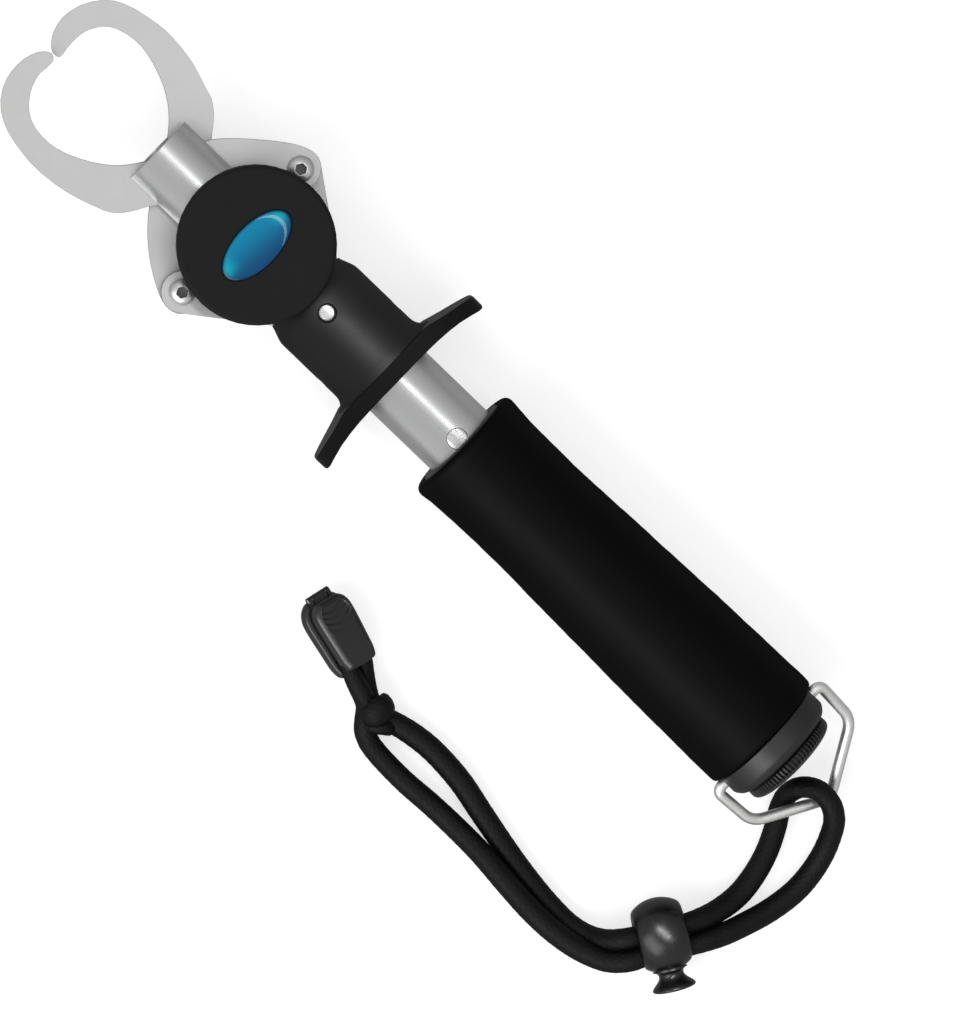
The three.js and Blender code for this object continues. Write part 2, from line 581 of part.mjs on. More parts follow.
function lockBody() {
  const steps = 10;
  const profile = Array.from({ length: steps + 1 }, (_, i) => {
    const angle = (180 - (180 * i) / steps) * DEG;
    const radius = i === 0 || i === steps ? 0 : LOCK.radius * Math.sin(angle);
    return [LOCK.radius * Math.cos(angle), radius];
  });
  return turnX(profile, 20)
    .intersect(box(both(10), both(LOCK.flat), both(10)))
    .subtract(rodX([-7.1, 12], 4.45, 18))
    .subtract(rodX([-8.25, 0], 3.6, 18))
    .subtract(strandTunnel(6.85));
}
add("lock_body", lockBody(), glossPlastic, lock);

const buttonProfile = [
  [-4.75, 0], [-4.75, 4.3], [10.2, 4.3], [11.0, 5.2], [12.4, 5.3], [13.3, 4.7],
  [13.5, 3.6], [13.5, 0],
];
add("lock_button", turnX(buttonProfile, 18).subtract(strandTunnel(8.5)), glossPlastic, lock);
const lockSpring = { from: -8.2, to: -4.85, radius: 3.2, turns: 2, wire: 0.25, sides: 4 };
add("lock_spring", spring(lockSpring), springSteel, lock);

// Clip on the cord ends: two shells that close on the strands, hinged at the
// far end. Local frame: X towards the cord, Z out of the lid.
const clip = new THREE.Group();
clip.rotation.x = CLIP.tilt * DEG;
groupAt(CLIP).add(clip);

function clipShells() {
  const outline = mirrorY([
    [-9.4, 3.2], [-8.0, 4.9], [-5.8, 5.85], [-3.0, 5.9], [7.0, 5.35], [9.2, 4.7], [10.0, 3.6],
  ]);
  const raised = outline.map(([x, y]) => [x * 0.9 + 0.15, y * 0.88]);
  const pocket = box([5.8, 12], both(7), both(2.75));
  const hingeX = -9.95;
  const pinHole = rodY(both(9), 0.66, 12, hingeX);
  const knuckle = (spanY) => box([-10.9, -9.0], spanY, both(0.9));
  const notch = (spanY, spanZ) => box([-12, -8.4], spanY, spanZ);

  let lid = plate(outline, [0.4, 3.4])
    .add(plate(raised, [3.3, 4.4]))
    .subtract(pocket)
    .subtract(notch(both(2.2), [0, 1.4]));
  let base = plate(outline, [-3.4, -0.4])
    .add(plate(raised, [-4.4, -3.3]))
    .subtract(pocket)
    .add(knuckle(both(1.9)));
  for (const [low, high] of [[-3.15, -2.2], [2.2, 3.15]]) {
    lid = lid.add(knuckle([low, high]));
    base = base.subtract(notch([low - 0.2, high + 0.2], [-1.4, 0]));
  }
  return {
    pin: rodY(both(3.1), 0.6, 12, hingeX),
    lid: lid.subtract(pinHole),
    base: base.subtract(pinHole),
  };
}
const shells = clipShells();
add("clip_hinge_pin", shells.pin, steel, clip);
add("clip_lid", shells.lid, greyPlastic, clip);
add("clip_base", shells.base, greyPlastic, clip);

export default tool;
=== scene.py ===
# A hand tool: two linked jaws worked by a sliding trigger, and a spring scale in a foam handle.
# The tool axis runs along X, AXIS_HEIGHT above the rear cover's outer face: jaws at the -X end,
# knob at the +X end. A wrist cord with its clip and cord lock lies on the -Y side; the badge
# faces +Z. Pieces are laid out in millimetres and written in metres.
from math import cos, exp, pi, radians, sin, sqrt

import bpy
import numpy as np
from mathutils import Matrix, Vector


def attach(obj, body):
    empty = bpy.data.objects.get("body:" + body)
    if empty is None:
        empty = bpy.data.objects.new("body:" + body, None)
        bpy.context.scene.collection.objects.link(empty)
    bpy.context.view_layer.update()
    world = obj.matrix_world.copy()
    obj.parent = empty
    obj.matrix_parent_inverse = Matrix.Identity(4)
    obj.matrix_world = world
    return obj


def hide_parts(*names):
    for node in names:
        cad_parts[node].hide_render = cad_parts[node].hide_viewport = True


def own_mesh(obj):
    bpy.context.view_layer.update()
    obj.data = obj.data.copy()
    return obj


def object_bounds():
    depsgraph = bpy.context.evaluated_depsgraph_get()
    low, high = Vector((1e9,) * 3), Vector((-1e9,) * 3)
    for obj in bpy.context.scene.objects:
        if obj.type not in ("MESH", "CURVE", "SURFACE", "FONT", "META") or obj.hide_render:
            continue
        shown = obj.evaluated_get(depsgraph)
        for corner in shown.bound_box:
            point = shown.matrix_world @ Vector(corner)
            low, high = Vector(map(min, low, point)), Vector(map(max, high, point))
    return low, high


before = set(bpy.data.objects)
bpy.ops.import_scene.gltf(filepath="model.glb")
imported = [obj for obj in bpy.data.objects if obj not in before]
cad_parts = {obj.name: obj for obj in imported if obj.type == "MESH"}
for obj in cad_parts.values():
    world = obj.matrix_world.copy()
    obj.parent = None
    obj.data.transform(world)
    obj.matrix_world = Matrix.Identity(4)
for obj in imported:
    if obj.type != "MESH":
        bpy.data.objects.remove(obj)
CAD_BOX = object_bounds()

MM = 0.001
AXIS_HEIGHT = 13.6


def axis_frame(x=0.0, y=0.0, z=0.0, turn=None):
    """Frame at a place given from the tool axis."""
    place = Matrix.Translation((x, y, z + AXIS_HEIGHT))
    return place if turn is None else place @ turn


TOOL = axis_frame()

# Places and sizes shared by several pieces, mm
ANCHOR_X = 22.9  # link anchor pin
SIDE_PIN_X = 34  # sleeve's cross hole along Y
TRIGGER_TRAVEL = 9.0
EAR_X, EAR_Y = -4.5, 20.1  # pivot screws at the jaw ears, one each side of the axis
SOCKET_RADIUS = 1.5  # over the corners of the screws' hexagon sockets
BAIL_X = 169.4  # bail pivot in the end collar

# =====================================================================
# Node materials. Textures use object coordinates, which are metres in
# the row frame at rest and travel with each piece.
# =====================================================================


class NodeMaterial:
    def __init__(self, name):
        self.material = bpy.data.materials.new(name)
        self.material.use_nodes = True
        self.tree = self.material.node_tree
        self.tree.nodes.clear()
        output = self.node("ShaderNodeOutputMaterial")
        self.shader = self.node("ShaderNodeBsdfPrincipled")
        self.tree.links.new(self.shader.outputs[0], output.inputs[0])
        self.position = self.node("ShaderNodeTexCoord").outputs["Object"]

    def node(self, kind, inputs=None, **props):
        """A node with its properties set and its inputs, by index or name, fed."""
        node = self.tree.nodes.new(kind)
        for key, value in props.items():
            setattr(node, key, value)
        for key, value in (inputs or {}).items():
            self.feed(node.inputs[key], value)
        return node

    def feed(self, socket, value):
        if isinstance(value, bpy.types.NodeSocket):
            self.tree.links.new(value, socket)
        elif isinstance(value, tuple) and len(value) == 3 and socket.type == "RGBA":
            socket.default_value = (*value, 1.0)
        else:
            socket.default_value = value

    def set(self, **inputs):
        """Feeds the shader's inputs; underscores stand for spaces."""
        for key, value in inputs.items():
            self.feed(self.shader.inputs[key.replace("_", " ")], value)

    def coords(self, per_mm, stretch=(1, 1, 1)):
        scale = tuple(s * (per_mm * 1000) for s in stretch)
        return self.node("ShaderNodeMapping", {0: self.position, "Scale": scale}).outputs[0]

    def noise(self, per_mm, stretch=(1, 1, 1), detail=3.0, rough=0.55):
        inputs = {"Vector": self.coords(per_mm, stretch), "Scale": 1.0}
        inputs.update(Detail=detail, Roughness=rough)
        return self.node("ShaderNodeTexNoise", inputs).outputs[0]

    def cells(self, per_mm):
        inputs = {"Vector": self.coords(per_mm), "Scale": 1.0}
        return self.node("ShaderNodeTexVoronoi", inputs).outputs["Distance"]

    def math(self, operation, a, b=0.0):
        inputs = {0: a, 1: b, 2: 0.0}
        return self.node("ShaderNodeMath", inputs, operation=operation).outputs[0]

    def between(self, value, low, high):
        above = self.math("GREATER_THAN", value, low)
        return self.math("MULTIPLY", above, self.math("LESS_THAN", value, high))

    def length(self, a, b):
        squares = self.math("ADD", self.math("MULTIPLY", a, a), self.math("MULTIPLY", b, b))
        return self.math("SQRT", squares)

    def ramp(self, value, over, to=(0.0, 1.0), kind="SMOOTHSTEP"):
        """Maps the range over onto the range to."""
        inputs = dict(enumerate((value, *over, *to)))
        return self.node("ShaderNodeMapRange", inputs, interpolation_type=kind).outputs[0]

    def mix(self, amount, a, b):
        return self.node("ShaderNodeMix", {0: amount, 6: a, 7: b}, data_type="RGBA").outputs[2]

    def tint(self, amount, colour):
        """Lays a colour over the base colour already there."""
        base = self.shader.inputs["Base Color"].links[0].from_socket
        self.set(Base_Color=self.mix(amount, base, colour))

    def split(self, vector=None):
        inputs = {0: vector or self.position}
        return self.node("ShaderNodeSeparateXYZ", inputs).outputs

    def edge(self, radius_mm, over=(0.04, 0.3)):
        """1 on outer and inner edges, 0 on open faces."""
        bevel = self.node("ShaderNodeBevel", {"Radius": radius_mm * MM}, samples=4)
        normal = self.node("ShaderNodeNewGeometry").outputs["Normal"]
        inputs = {0: bevel.outputs[0], 1: normal}
        dot = self.node("ShaderNodeVectorMath", inputs, operation="DOT_PRODUCT").outputs["Value"]
        return self.ramp(self.math("SUBTRACT", 1.0, dot), over)

    def soften(self, level, least, over=(0.25, 0.85)):
        """Specular level that fades to its least share towards the outline, as on a dull skin."""
        facing = self.node("ShaderNodeLayerWeight", {"Blend": 0.5}).outputs["Facing"]
        self.set(Specular_IOR_Level=self.ramp(facing, over, to=(level, level * least)))

    def bump(self, height, depth_mm, strength):
        inputs = {"Strength": strength, "Distance": depth_mm * MM, "Height": height}
        self.set(Normal=self.node("ShaderNodeBump", inputs).outputs[0])


def tone(colour, factor, lift=0.0):
    return tuple(c * factor + lift for c in colour)


def steel(name, base, rough, per_mm, dark, depth, grain=(1, 1, 1), spots=0.0):
    """Stainless steel with a directional grain, faint stains and optional dark spots."""
    m = NodeMaterial(name)
    streak = m.noise(per_mm, grain, detail=5, rough=0.65)
    broad = m.noise(per_mm=0.12, detail=3)
    colour = m.mix(m.ramp(streak, over=(0.3, 0.72)), tone(base, dark), base)
    stain = m.ramp(broad, over=(0.35, 0.75), to=(0.0, 0.16))
    colour = m.mix(stain, colour, tone(base, factor=0.82))
    if spots:
        dots = m.ramp(m.noise(per_mm=1.7, detail=2), over=(0.68, 0.78), to=(0.0, spots))
        colour = m.mix(dots, colour, tone(base, factor=0.45))
    fine_rough = m.ramp(streak, over=(0.25, 0.75), to=(rough - 0.05, rough + 0.07))
    broad_rough = m.ramp(broad, over=(0.3, 0.7), to=(-0.02, 0.04))
    m.set(Base_Color=colour, Metallic=1.0, Roughness=m.math("ADD", fine_rough, broad_rough))
    m.bump(streak, depth, strength=0.55)
    return m


def plastic(name, base, rough, per_mm, depth, wear, spec=0.5, metal=0.0, fade=1.0):
    """Moulded or painted surface: fine texture, slight colour drift and rubbed edges."""
    m = NodeMaterial(name)
    fine = m.noise(per_mm, detail=4, rough=0.6)
    broad = m.noise(per_mm=0.09, detail=3)
    drift = m.ramp(broad, over=(0.3, 0.75))
    colour = m.mix(drift, tone(base, factor=0.86), tone(base, factor=1.14))
    fleck = m.ramp(fine, over=(0.45, 0.8), to=(0.0, 0.25))
    colour = m.mix(fleck, colour, tone(base, factor=1.5, lift=0.002))
    patches = m.ramp(m.noise(per_mm=0.8, detail=4), over=(0.35, 0.7))
    rubbed = m.math("MULTIPLY", m.edge(radius_mm=0.35), patches)
    colour = m.mix(m.math("MULTIPLY", rubbed, wear), colour, tone(base, factor=3.0, lift=0.02))
    fine_rough = m.ramp(fine, over=(0.3, 0.7), to=(rough - 0.04, rough + 0.05))
    broad_rough = m.ramp(broad, over=(0.3, 0.7), to=(-0.03, 0.05))
    m.set(Base_Color=colour, Metallic=metal, Roughness=m.math("ADD", fine_rough, broad_rough))
    if fade < 1.0:
        m.soften(spec, least=fade)
    else:
        m.set(Specular_IOR_Level=spec)
    m.bump(fine, depth, strength=0.6)
    return m


def tube_steel():
    """Lengthwise brushing, and printed scale ticks on the upper side beyond the handle's mouth."""
    m = steel("brushed_tube", base=(0.68, 0.683, 0.685), rough=0.29, grain=(0.012, 1, 1),
              per_mm=7.0, dark=0.94, depth=0.0012)
    x, y, z = m.split()
    x_mm = m.math("MULTIPLY", x, 1000.0)
    y_mm = m.math("MULTIPLY", y, 1000.0)
    first_tick, tick_foot = 71.0, 1.0

    def ticks(step, half_width, end_y):
        along = m.math("SUBTRACT", x_mm, first_tick - step / 2)
        off = m.math("SUBTRACT", m.math("MODULO", along, step), step / 2)
        line = m.math("LESS_THAN", m.math("ABSOLUTE", off), half_width)
        return m.math("MULTIPLY", line, m.between(y_mm, tick_foot, end_y))

    short = ticks(step=2.0, half_width=0.13, end_y=3.4)
    long = ticks(step=10.0, half_width=0.18, end_y=6.0)
    marks = m.math("MAXIMUM", short, long)
    zone = m.between(x_mm, low=70.5, high=103.5)
    zone = m.math("MULTIPLY", zone, m.math("GREATER_THAN", z, AXIS_HEIGHT * MM))
    marks = m.math("MULTIPLY", marks, zone)
    ink_strength = 0.9
    m.tint(m.math("MULTIPLY", marks, ink_strength), colour=(0.03, 0.03, 0.032))
    return m


def plate_steel():
    """Satin rolled sheet; the sheared side walls and the rims are darker."""
    m = steel("satin_plate", base=(0.535, 0.535, 0.533), rough=0.42, grain=(0.10, 1, 1),
              per_mm=3.5, dark=0.95, depth=0.0025)
    normal_z = m.split(m.node("ShaderNodeTexCoord").outputs["Normal"])[2]
    side = m.ramp(m.math("ABSOLUTE", normal_z), over=(0.86, 0.985), to=(1.0, 0.0))
    shear = m.noise(per_mm=2.2, stretch=(1, 1, 0.15), detail=3)
    shear_colour = m.mix(shear, (0.045, 0.045, 0.045), (0.12, 0.12, 0.118))
    side_strength, rim_strength = 0.92, 0.75
    m.tint(m.math("MULTIPLY", side, side_strength), shear_colour)
    rim = m.edge(radius_mm=0.30, over=(0.01, 0.10))
    m.tint(m.math("MULTIPLY", rim, rim_strength), colour=(0.09, 0.09, 0.09))
    return m


def screw_steel():
    """Turned stainless heads; the hexagon sockets are painted dark grey and less metallic, as
    painted shade in the recess.
    """
    m = steel("screw_steel", base=(0.74, 0.74, 0.735), rough=0.38, per_mm=5.0, dark=0.86,
              depth=0.003)
    x, y, z = m.split()
    dx = m.math("ADD", x, -EAR_X * MM)
    dy = m.math("SUBTRACT", m.math("ABSOLUTE", y), EAR_Y * MM)
    well_edge = (SOCKET_RADIUS * MM, (SOCKET_RADIUS + 0.08) * MM)
    inside = m.ramp(m.length(dx, dy), over=well_edge, to=(1.0, 0.0))
    above_floor = m.math("GREATER_THAN", z, (AXIS_HEIGHT + 3.1) * MM)
    mouth = ((AXIS_HEIGHT + 4.0) * MM, (AXIS_HEIGHT + 4.6) * MM)
    below_mouth = m.ramp(z, over=mouth, to=(1.0, 0.0))
    well = m.math("MULTIPLY", inside, m.math("MULTIPLY", above_floor, below_mouth))
    # The socket well is painted dark grey and less metallic: painted shade in the recess.
    socket_shade, socket_shade_dulling = 0.97, 0.9
    m.tint(m.math("MULTIPLY", well, socket_shade), colour=(0.11, 0.11, 0.112))
    m.set(Metallic=m.math("SUBTRACT", 1.0, m.math("MULTIPLY", well, socket_shade_dulling)))
    return m


def foam():
    """Closed cells cut open at the skin, dull, with a faint bloom; the pores carry painted shade.
    """
    m = NodeMaterial("grip_foam")
    cell = m.cells(per_mm=3.2)
    small_cell = m.cells(per_mm=7.5)
    fine = m.noise(per_mm=9.0, detail=3)
    broad = m.noise(per_mm=0.07, detail=3)
    small_share, fine_share = 0.45, 0.3  # of the bump height
    small_pores = m.math("MULTIPLY", m.ramp(small_cell, over=(0.05, 0.45)), small_share)
    pores = m.math("ADD", m.ramp(cell, over=(0.05, 0.5)), small_pores)
    # Darker at the cell centres: painted shade in the open pores.
    open_skin = m.ramp(cell, over=(0.05, 0.42))
    colour = m.mix(open_skin, (0.0001, 0.0001, 0.0001), (0.0006, 0.0006, 0.0006))
    bloom = m.ramp(broad, over=(0.35, 0.75), to=(0.0, 0.35))
    colour = m.mix(bloom, colour, (0.0010, 0.0010, 0.0010))
    m.set(Base_Color=colour, Roughness=m.ramp(fine, over=(0.3, 0.7), to=(0.50, 0.62)))
    m.soften(level=0.062, least=0.12, over=(0.30, 0.80))
    m.set(Sheen_Weight=0.002, Sheen_Roughness=0.6)
    height = m.math("ADD", pores, m.math("MULTIPLY", fine, fine_share))
    m.bump(height, depth_mm=0.035, strength=0.35)
    return m


def cord_fibre():
    """Polyester fibre over the modelled braid."""
    m = NodeMaterial("braided_cord")
    fibre = m.noise(per_mm=12.0, detail=3)
    broad = m.noise(per_mm=0.15, detail=3)
    lit = m.ramp(fibre, over=(0.3, 0.75))
    colour = m.mix(lit, (0.0003, 0.0003, 0.0002), (0.0026, 0.0025, 0.0022))
    faded = m.ramp(broad, over=(0.35, 0.75), to=(0.0, 0.4))
    colour = m.mix(faded, colour, (0.0042, 0.0039, 0.0034))
    m.set(Base_Color=colour, Roughness=m.ramp(fibre, over=(0.3, 0.7), to=(0.44, 0.60)))
    m.soften(level=0.19, least=0.30, over=(0.30, 0.85))
    m.set(Sheen_Weight=0.008)
    m.bump(fibre, depth_mm=0.03, strength=0.6)
    return m


def badge_enamel():
    """Blue under a clear coat, with painted light and shade: lighter at one side and at the ends,
    darker at the other side and at the rim.
    """
    m = NodeMaterial("badge_enamel")
    x, y, _ = m.split()
    half_x, half_y = 0.0053, 0.0106  # metres
    slant = -0.25
    across = m.math("DIVIDE", x, half_x)
    along = m.math("DIVIDE", y, half_y)
    radius = m.length(across, along)
    # Lighter towards one side and darker towards the other: painted light and shade across the
    # dome.
    sweep = m.math("ADD", across, m.math("MULTIPLY", along, slant))
    sweep = m.ramp(sweep, over=(-0.9, 0.9))
    colour = m.mix(sweep, (0.0, 0.225, 0.40), (0.0, 0.055, 0.165))
    # Lighter cyan at the ends on the lighter side: painted highlight.
    ends = m.ramp(m.math("ABSOLUTE", along), over=(0.45, 0.98))
    lead = m.ramp(across, over=(0.35, -0.25))
    colour = m.mix(m.math("MULTIPLY", ends, lead), colour, (0.0, 0.42, 0.52))
    fleck = m.noise(per_mm=3.0, detail=4)
    flecks = m.ramp(fleck, over=(0.35, 0.75), to=(0.0, 0.18))
    colour = m.mix(flecks, colour, (0.0, 0.10, 0.26))
    # Darker towards the outline: painted shade at the dome's rim.
    colour = m.mix(m.ramp(radius, over=(0.86, 0.99)), colour, (0.0, 0.02, 0.05))
    m.set(Base_Color=colour, Roughness=m.ramp(fleck, over=(0.3, 0.7), to=(0.45, 0.6)))
    m.set(Coat_Weight=0.55, Coat_Roughness=0.03, Specular_IOR_Level=0.0)
    m.bump(fleck, depth_mm=0.004, strength=0.3)
    return m


LIBRARY = {
    "tube": tube_steel(),
    "plate": plate_steel(),
    "pin": steel("polished_pin", base=(0.90, 0.90, 0.895), rough=0.22, grain=(1, 1, 0.05),
                 per_mm=5.0, dark=0.94, depth=0.002),
    "screw_steel": screw_steel(),
    # Spare: no piece wears this one. Darker steel for sockets, as painted shade in the recess.
    "socket_dark": steel("socket_steel", base=(0.20, 0.20, 0.205), rough=0.42, per_mm=5.0,
                         dark=0.7, depth=0.004),
    "wire": steel("bail_wire_steel", base=(0.90, 0.90, 0.89), rough=0.42, per_mm=1.6,
                  dark=0.90, depth=0.002, spots=0.10),
    "spring": steel("spring_wire", base=(0.38, 0.385, 0.39), rough=0.3, per_mm=5.0,
                    dark=0.75, depth=0.005, spots=0.3),
    "rivet": steel("rivet_head", base=(0.66, 0.66, 0.66), rough=0.33, per_mm=5.0,
                   dark=0.9, depth=0.004),
    "black_metal": plastic("satin_black_metal", base=(0.0022, 0.0022, 0.0023), rough=0.50,
                           spec=0.34, per_mm=5.0, depth=0.004, wear=0.22, fade=0.22),
    "flange": plastic("satin_black_flange", base=(0.0026, 0.0026, 0.0027), rough=0.47,
                      spec=0.18, per_mm=5.0, depth=0.004, wear=0.18),
    "cover": plastic("cover_matte_black", base=(0.0092, 0.0092, 0.0094), rough=0.64,
                     spec=0.13, per_mm=4.0, depth=0.02, wear=0.05),
    "cover_screw": plastic("black_oxide_screw", base=(0.03, 0.03, 0.032), rough=0.34,
                           metal=0.8, per_mm=5.0, depth=0.006, wear=0.6),
    "collar": plastic("satin_grey_plastic", base=(0.013, 0.013, 0.0133), rough=0.46,
                      spec=0.36, per_mm=4.0, depth=0.008, wear=0.10, fade=0.4),
    "knob": plastic("knob_black", base=(0.013, 0.013, 0.0132), rough=0.46,
                    spec=0.38, per_mm=4.0, depth=0.008, wear=0.15),
    "inner": plastic("inner_plastic", base=(0.03, 0.03, 0.032), rough=0.5,
                     spec=0.35, per_mm=3.0, depth=0.02, wear=0.1),
    "clip": plastic("clip_plastic", base=(0.0092, 0.0092, 0.0094), rough=0.34,
                    spec=0.5, per_mm=4.0, depth=0.008, wear=0.22),
    "lock": plastic("lock_gloss_plastic", base=(0.0014, 0.0014, 0.0015), rough=0.29,
                    spec=0.56, per_mm=0.8, depth=0.0006, wear=0.08, fade=0.55),
    "foam": foam(),
    "cord": cord_fibre(),
    "badge": badge_enamel(),
}

# =====================================================================
# Mesh helpers, in millimetres. A solid is a pair: vertices and faces.
# =====================================================================


def placed(verts, local):
    """Points of a piece's own frame, carried into the row frame."""
    matrix = np.array(local, float)
    return np.asarray(verts, float) @ matrix[:3, :3].T + matrix[:3, 3]


def solid_mesh(name, solid, local):
    verts, faces = solid
    mesh = bpy.data.meshes.new(name)
    mesh.from_pydata((placed(verts, local) * MM).tolist(), [], [list(f) for f in faces])
    return mesh


def add_object(name, data):
    o = bpy.data.objects.new(name, data)
    bpy.context.scene.collection.objects.link(o)
    return o


def shade(mesh, angle=38):
    """Smooth faces, sharp where edges turn by more than the angle in degrees."""
    for face in mesh.polygons:
        face.use_smooth = True
    mesh.set_sharp_from_angle(angle=radians(angle))


def piece(name, solid, material, body, node, sharp=60, local=TOOL):
    """A new object that rides a body and stands for a CAD node."""
    mesh = solid_mesh(name, solid, local)
    mesh.validate()
    shade(mesh, sharp)
    mesh.materials.append(LIBRARY[material].material)
    mesh.update()
    o = add_object(name, mesh)
    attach(o, body)
    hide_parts(node)
    return o


def cut(o, solid, local=TOOL, operation="DIFFERENCE"):
    """Cuts a solid from the object, or joins it on, and applies the result."""
    mesh = solid_mesh("tool", solid, local)
    cutter = add_object("tool", mesh)
    boolean = o.modifiers.new("cut", "BOOLEAN")
    boolean.operation = operation
    boolean.solver = "EXACT"
    boolean.object = cutter
    bpy.context.view_layer.update()
    graph = bpy.context.evaluated_depsgraph_get()
    result = bpy.data.meshes.new_from_object(o.evaluated_get(graph))
    o.modifiers.clear()
    o.data = result
    bpy.data.objects.remove(cutter)
    bpy.data.meshes.remove(mesh)


def bend_corners(points, radii, steps=4):
    """Replaces each corner by a short curve that starts its radius away from it."""
    out, count = [], len(points)
    if np.isscalar(radii):
        radii = [radii] * count
    for i, (corner, radius) in enumerate(zip(points, radii)):
        corner = np.array(corner, float)
        if not radius:
            out.append(corner)
            continue
        back = np.array(points[i - 1], float) - corner
        ahead = np.array(points[(i + 1) % count], float) - corner
        back_length, ahead_length = np.linalg.norm(back), np.linalg.norm(ahead)
        radius = min(radius, 0.46 * back_length, 0.46 * ahead_length)
        back, ahead = back / back_length, ahead / ahead_length
        for j in range(steps + 1):
            t = j / steps
            out.append(corner + radius * (back * (1 - t) ** 2 + ahead * t ** 2))
    return np.array(out)


def outward(verts, faces):
    """Turns all faces over if the solid's volume comes out negative."""
    verts = np.asarray(verts, float)
    volume = 0.0
    for face in faces:
        first = verts[face[0]]
        for i in range(1, len(face) - 1):
            volume += float(np.dot(first, np.cross(verts[face[i]], verts[face[i + 1]])))
    if volume < 0:
        faces = [tuple(reversed(face)) for face in faces]
    return verts, faces


def lathe(profile, sides):
    """Revolves (x, radius) points about X. The profile closes on itself unless it starts
    on the axis, where it has to end too."""
    verts, rings = [], []
    for x, radius in profile:
        if radius < 1e-6:
            rings.append([len(verts)])
            verts.append((x, 0.0, 0.0))
            continue
        rings.append(list(range(len(verts), len(verts) + sides)))
        for i in range(sides):
            angle = 2 * pi * i / sides
            verts.append((x, radius * cos(angle), radius * sin(angle)))
    pairs = list(zip(rings, rings[1:]))
    if len(rings[0]) > 1:
        pairs.append((rings[-1], rings[0]))
    faces = []
    for a, b in pairs:
        for i in range(sides):
            j = (i + 1) % sides
            if len(a) == 1:
                faces.append((a[0], b[j], b[i]))
            elif len(b) == 1:
                faces.append((a[i], a[j], b[0]))
            else:
                faces.append((a[i], a[j], b[j], b[i]))
    return outward(verts, faces)


def loft(rings):
    """Joins rings of equal length into one skin, closed by a face at both ends."""
    n = len(rings[0])
    verts = np.concatenate([np.asarray(ring, float) for ring in rings])
    faces = []
    for k in range(len(rings) - 1):
        for i in range(n):
            j = (i + 1) % n
            faces.append((k * n + i, k * n + j, (k + 1) * n + j, (k + 1) * n + i))
    faces.append(tuple(reversed(range(n))))
    faces.append(tuple(range((len(rings) - 1) * n, len(rings) * n)))
    return outward(verts, faces)


def prism(outline, start, end, axis=2):
    """A flat outline drawn out along an axis (0, 1 or 2)."""
    outline = np.asarray(outline, float)
    return loft([np.insert(outline, axis, at, axis=1) for at in (start, end)])


def box(x, y, z):
    """Box from three (low, high) ranges."""
    return prism([(y[0], z[0]), (y[1], z[0]), (y[1], z[1]), (y[0], z[1])], *x, axis=0)


def block(x, y, z, radius):
    """Box whose edges along Y are rounded."""
    corners = [(x[0], z[0]), (x[1], z[0]), (x[1], z[1]), (x[0], z[1])]
    return prism(bend_corners(corners, radius, 5), *y, axis=1)


def circle(x, y, radius, count):
    angles = np.linspace(0, 2 * pi, count, endpoint=False)
    return [(x + radius * cos(a), y + radius * sin(a)) for a in angles]


def arc(x, y, radius, start, end, count):
    angles = np.linspace(radians(start), radians(end), count)
    return [(x + radius * cos(a), y + radius * sin(a)) for a in angles]


def hole(x, radius, y=0, end_x=None, count=48, axis=2):
    """Cutter right through the tool along an axis: round, or a slot from x to end_x."""
    if end_x is None:
        outline = circle(x, y, radius, count)
    else:
        outline = arc(x, y, radius, 90, 270, count // 2 + 1)
        outline += arc(end_x, y, radius, -90, 90, count // 2 + 1)
    return prism(outline, -20, 20, axis)


def arc_length(path):
    """Length along a path at each of its points."""
    steps = np.linalg.norm(np.diff(path, axis=0), axis=1)
    return np.concatenate([[0], np.cumsum(steps)])


def resample(path, lengths, at):
    """Path points at given lengths along it."""
    return np.stack([np.interp(at, lengths, path[:, k]) for k in range(path.shape[1])], axis=1)


def spline(points, step):
    """Centripetal curve through points, resampled evenly."""
    p = np.asarray(points, float)
    p = np.vstack([2 * p[0] - p[1], p, 2 * p[-1] - p[-2]])
    out = []
    for i in range(1, len(p) - 2):
        p0, p1, p2, p3 = p[i - 1 : i + 3]
        t0 = 0.0
        t1 = t0 + max(np.linalg.norm(p1 - p0), 1e-6) ** 0.5
        t2 = t1 + max(np.linalg.norm(p2 - p1), 1e-6) ** 0.5
        t3 = t2 + max(np.linalg.norm(p3 - p2), 1e-6) ** 0.5
        for t in np.linspace(t1, t2, 40, endpoint=False):
            a1 = (t1 - t) / (t1 - t0) * p0 + (t - t0) / (t1 - t0) * p1
            a2 = (t2 - t) / (t2 - t1) * p1 + (t - t1) / (t2 - t1) * p2
            a3 = (t3 - t) / (t3 - t2) * p2 + (t - t2) / (t3 - t2) * p3
            b1 = (t2 - t) / (t2 - t0) * a1 + (t - t0) / (t2 - t0) * a2
            b2 = (t3 - t) / (t3 - t1) * a2 + (t - t1) / (t3 - t1) * a3
            out.append((t2 - t) / (t2 - t1) * b1 + (t - t1) / (t2 - t1) * b2)
    out.append(p[-2])
    out = np.array(out)
    lengths = arc_length(out)
    count = max(3, int(round(lengths[-1] / step)))
    return resample(out, lengths, np.linspace(0, lengths[-1], count + 1))


def normals_along(path):
    """Two normals at each point of a path, carried along without twist."""
    tangent = np.gradient(path, axis=0)
    tangent /= np.linalg.norm(tangent, axis=1)[:, None]
    normal = np.zeros_like(path)
    carried = np.array([0, 0, 1.0]) if abs(tangent[0][2]) < 0.9 else np.array([0, 1.0, 0])
    for i in range(len(path)):
        flat = carried - tangent[i] * np.dot(carried, tangent[i])
        carried = normal[i] = flat / np.linalg.norm(flat)
    return normal, np.cross(tangent, normal)


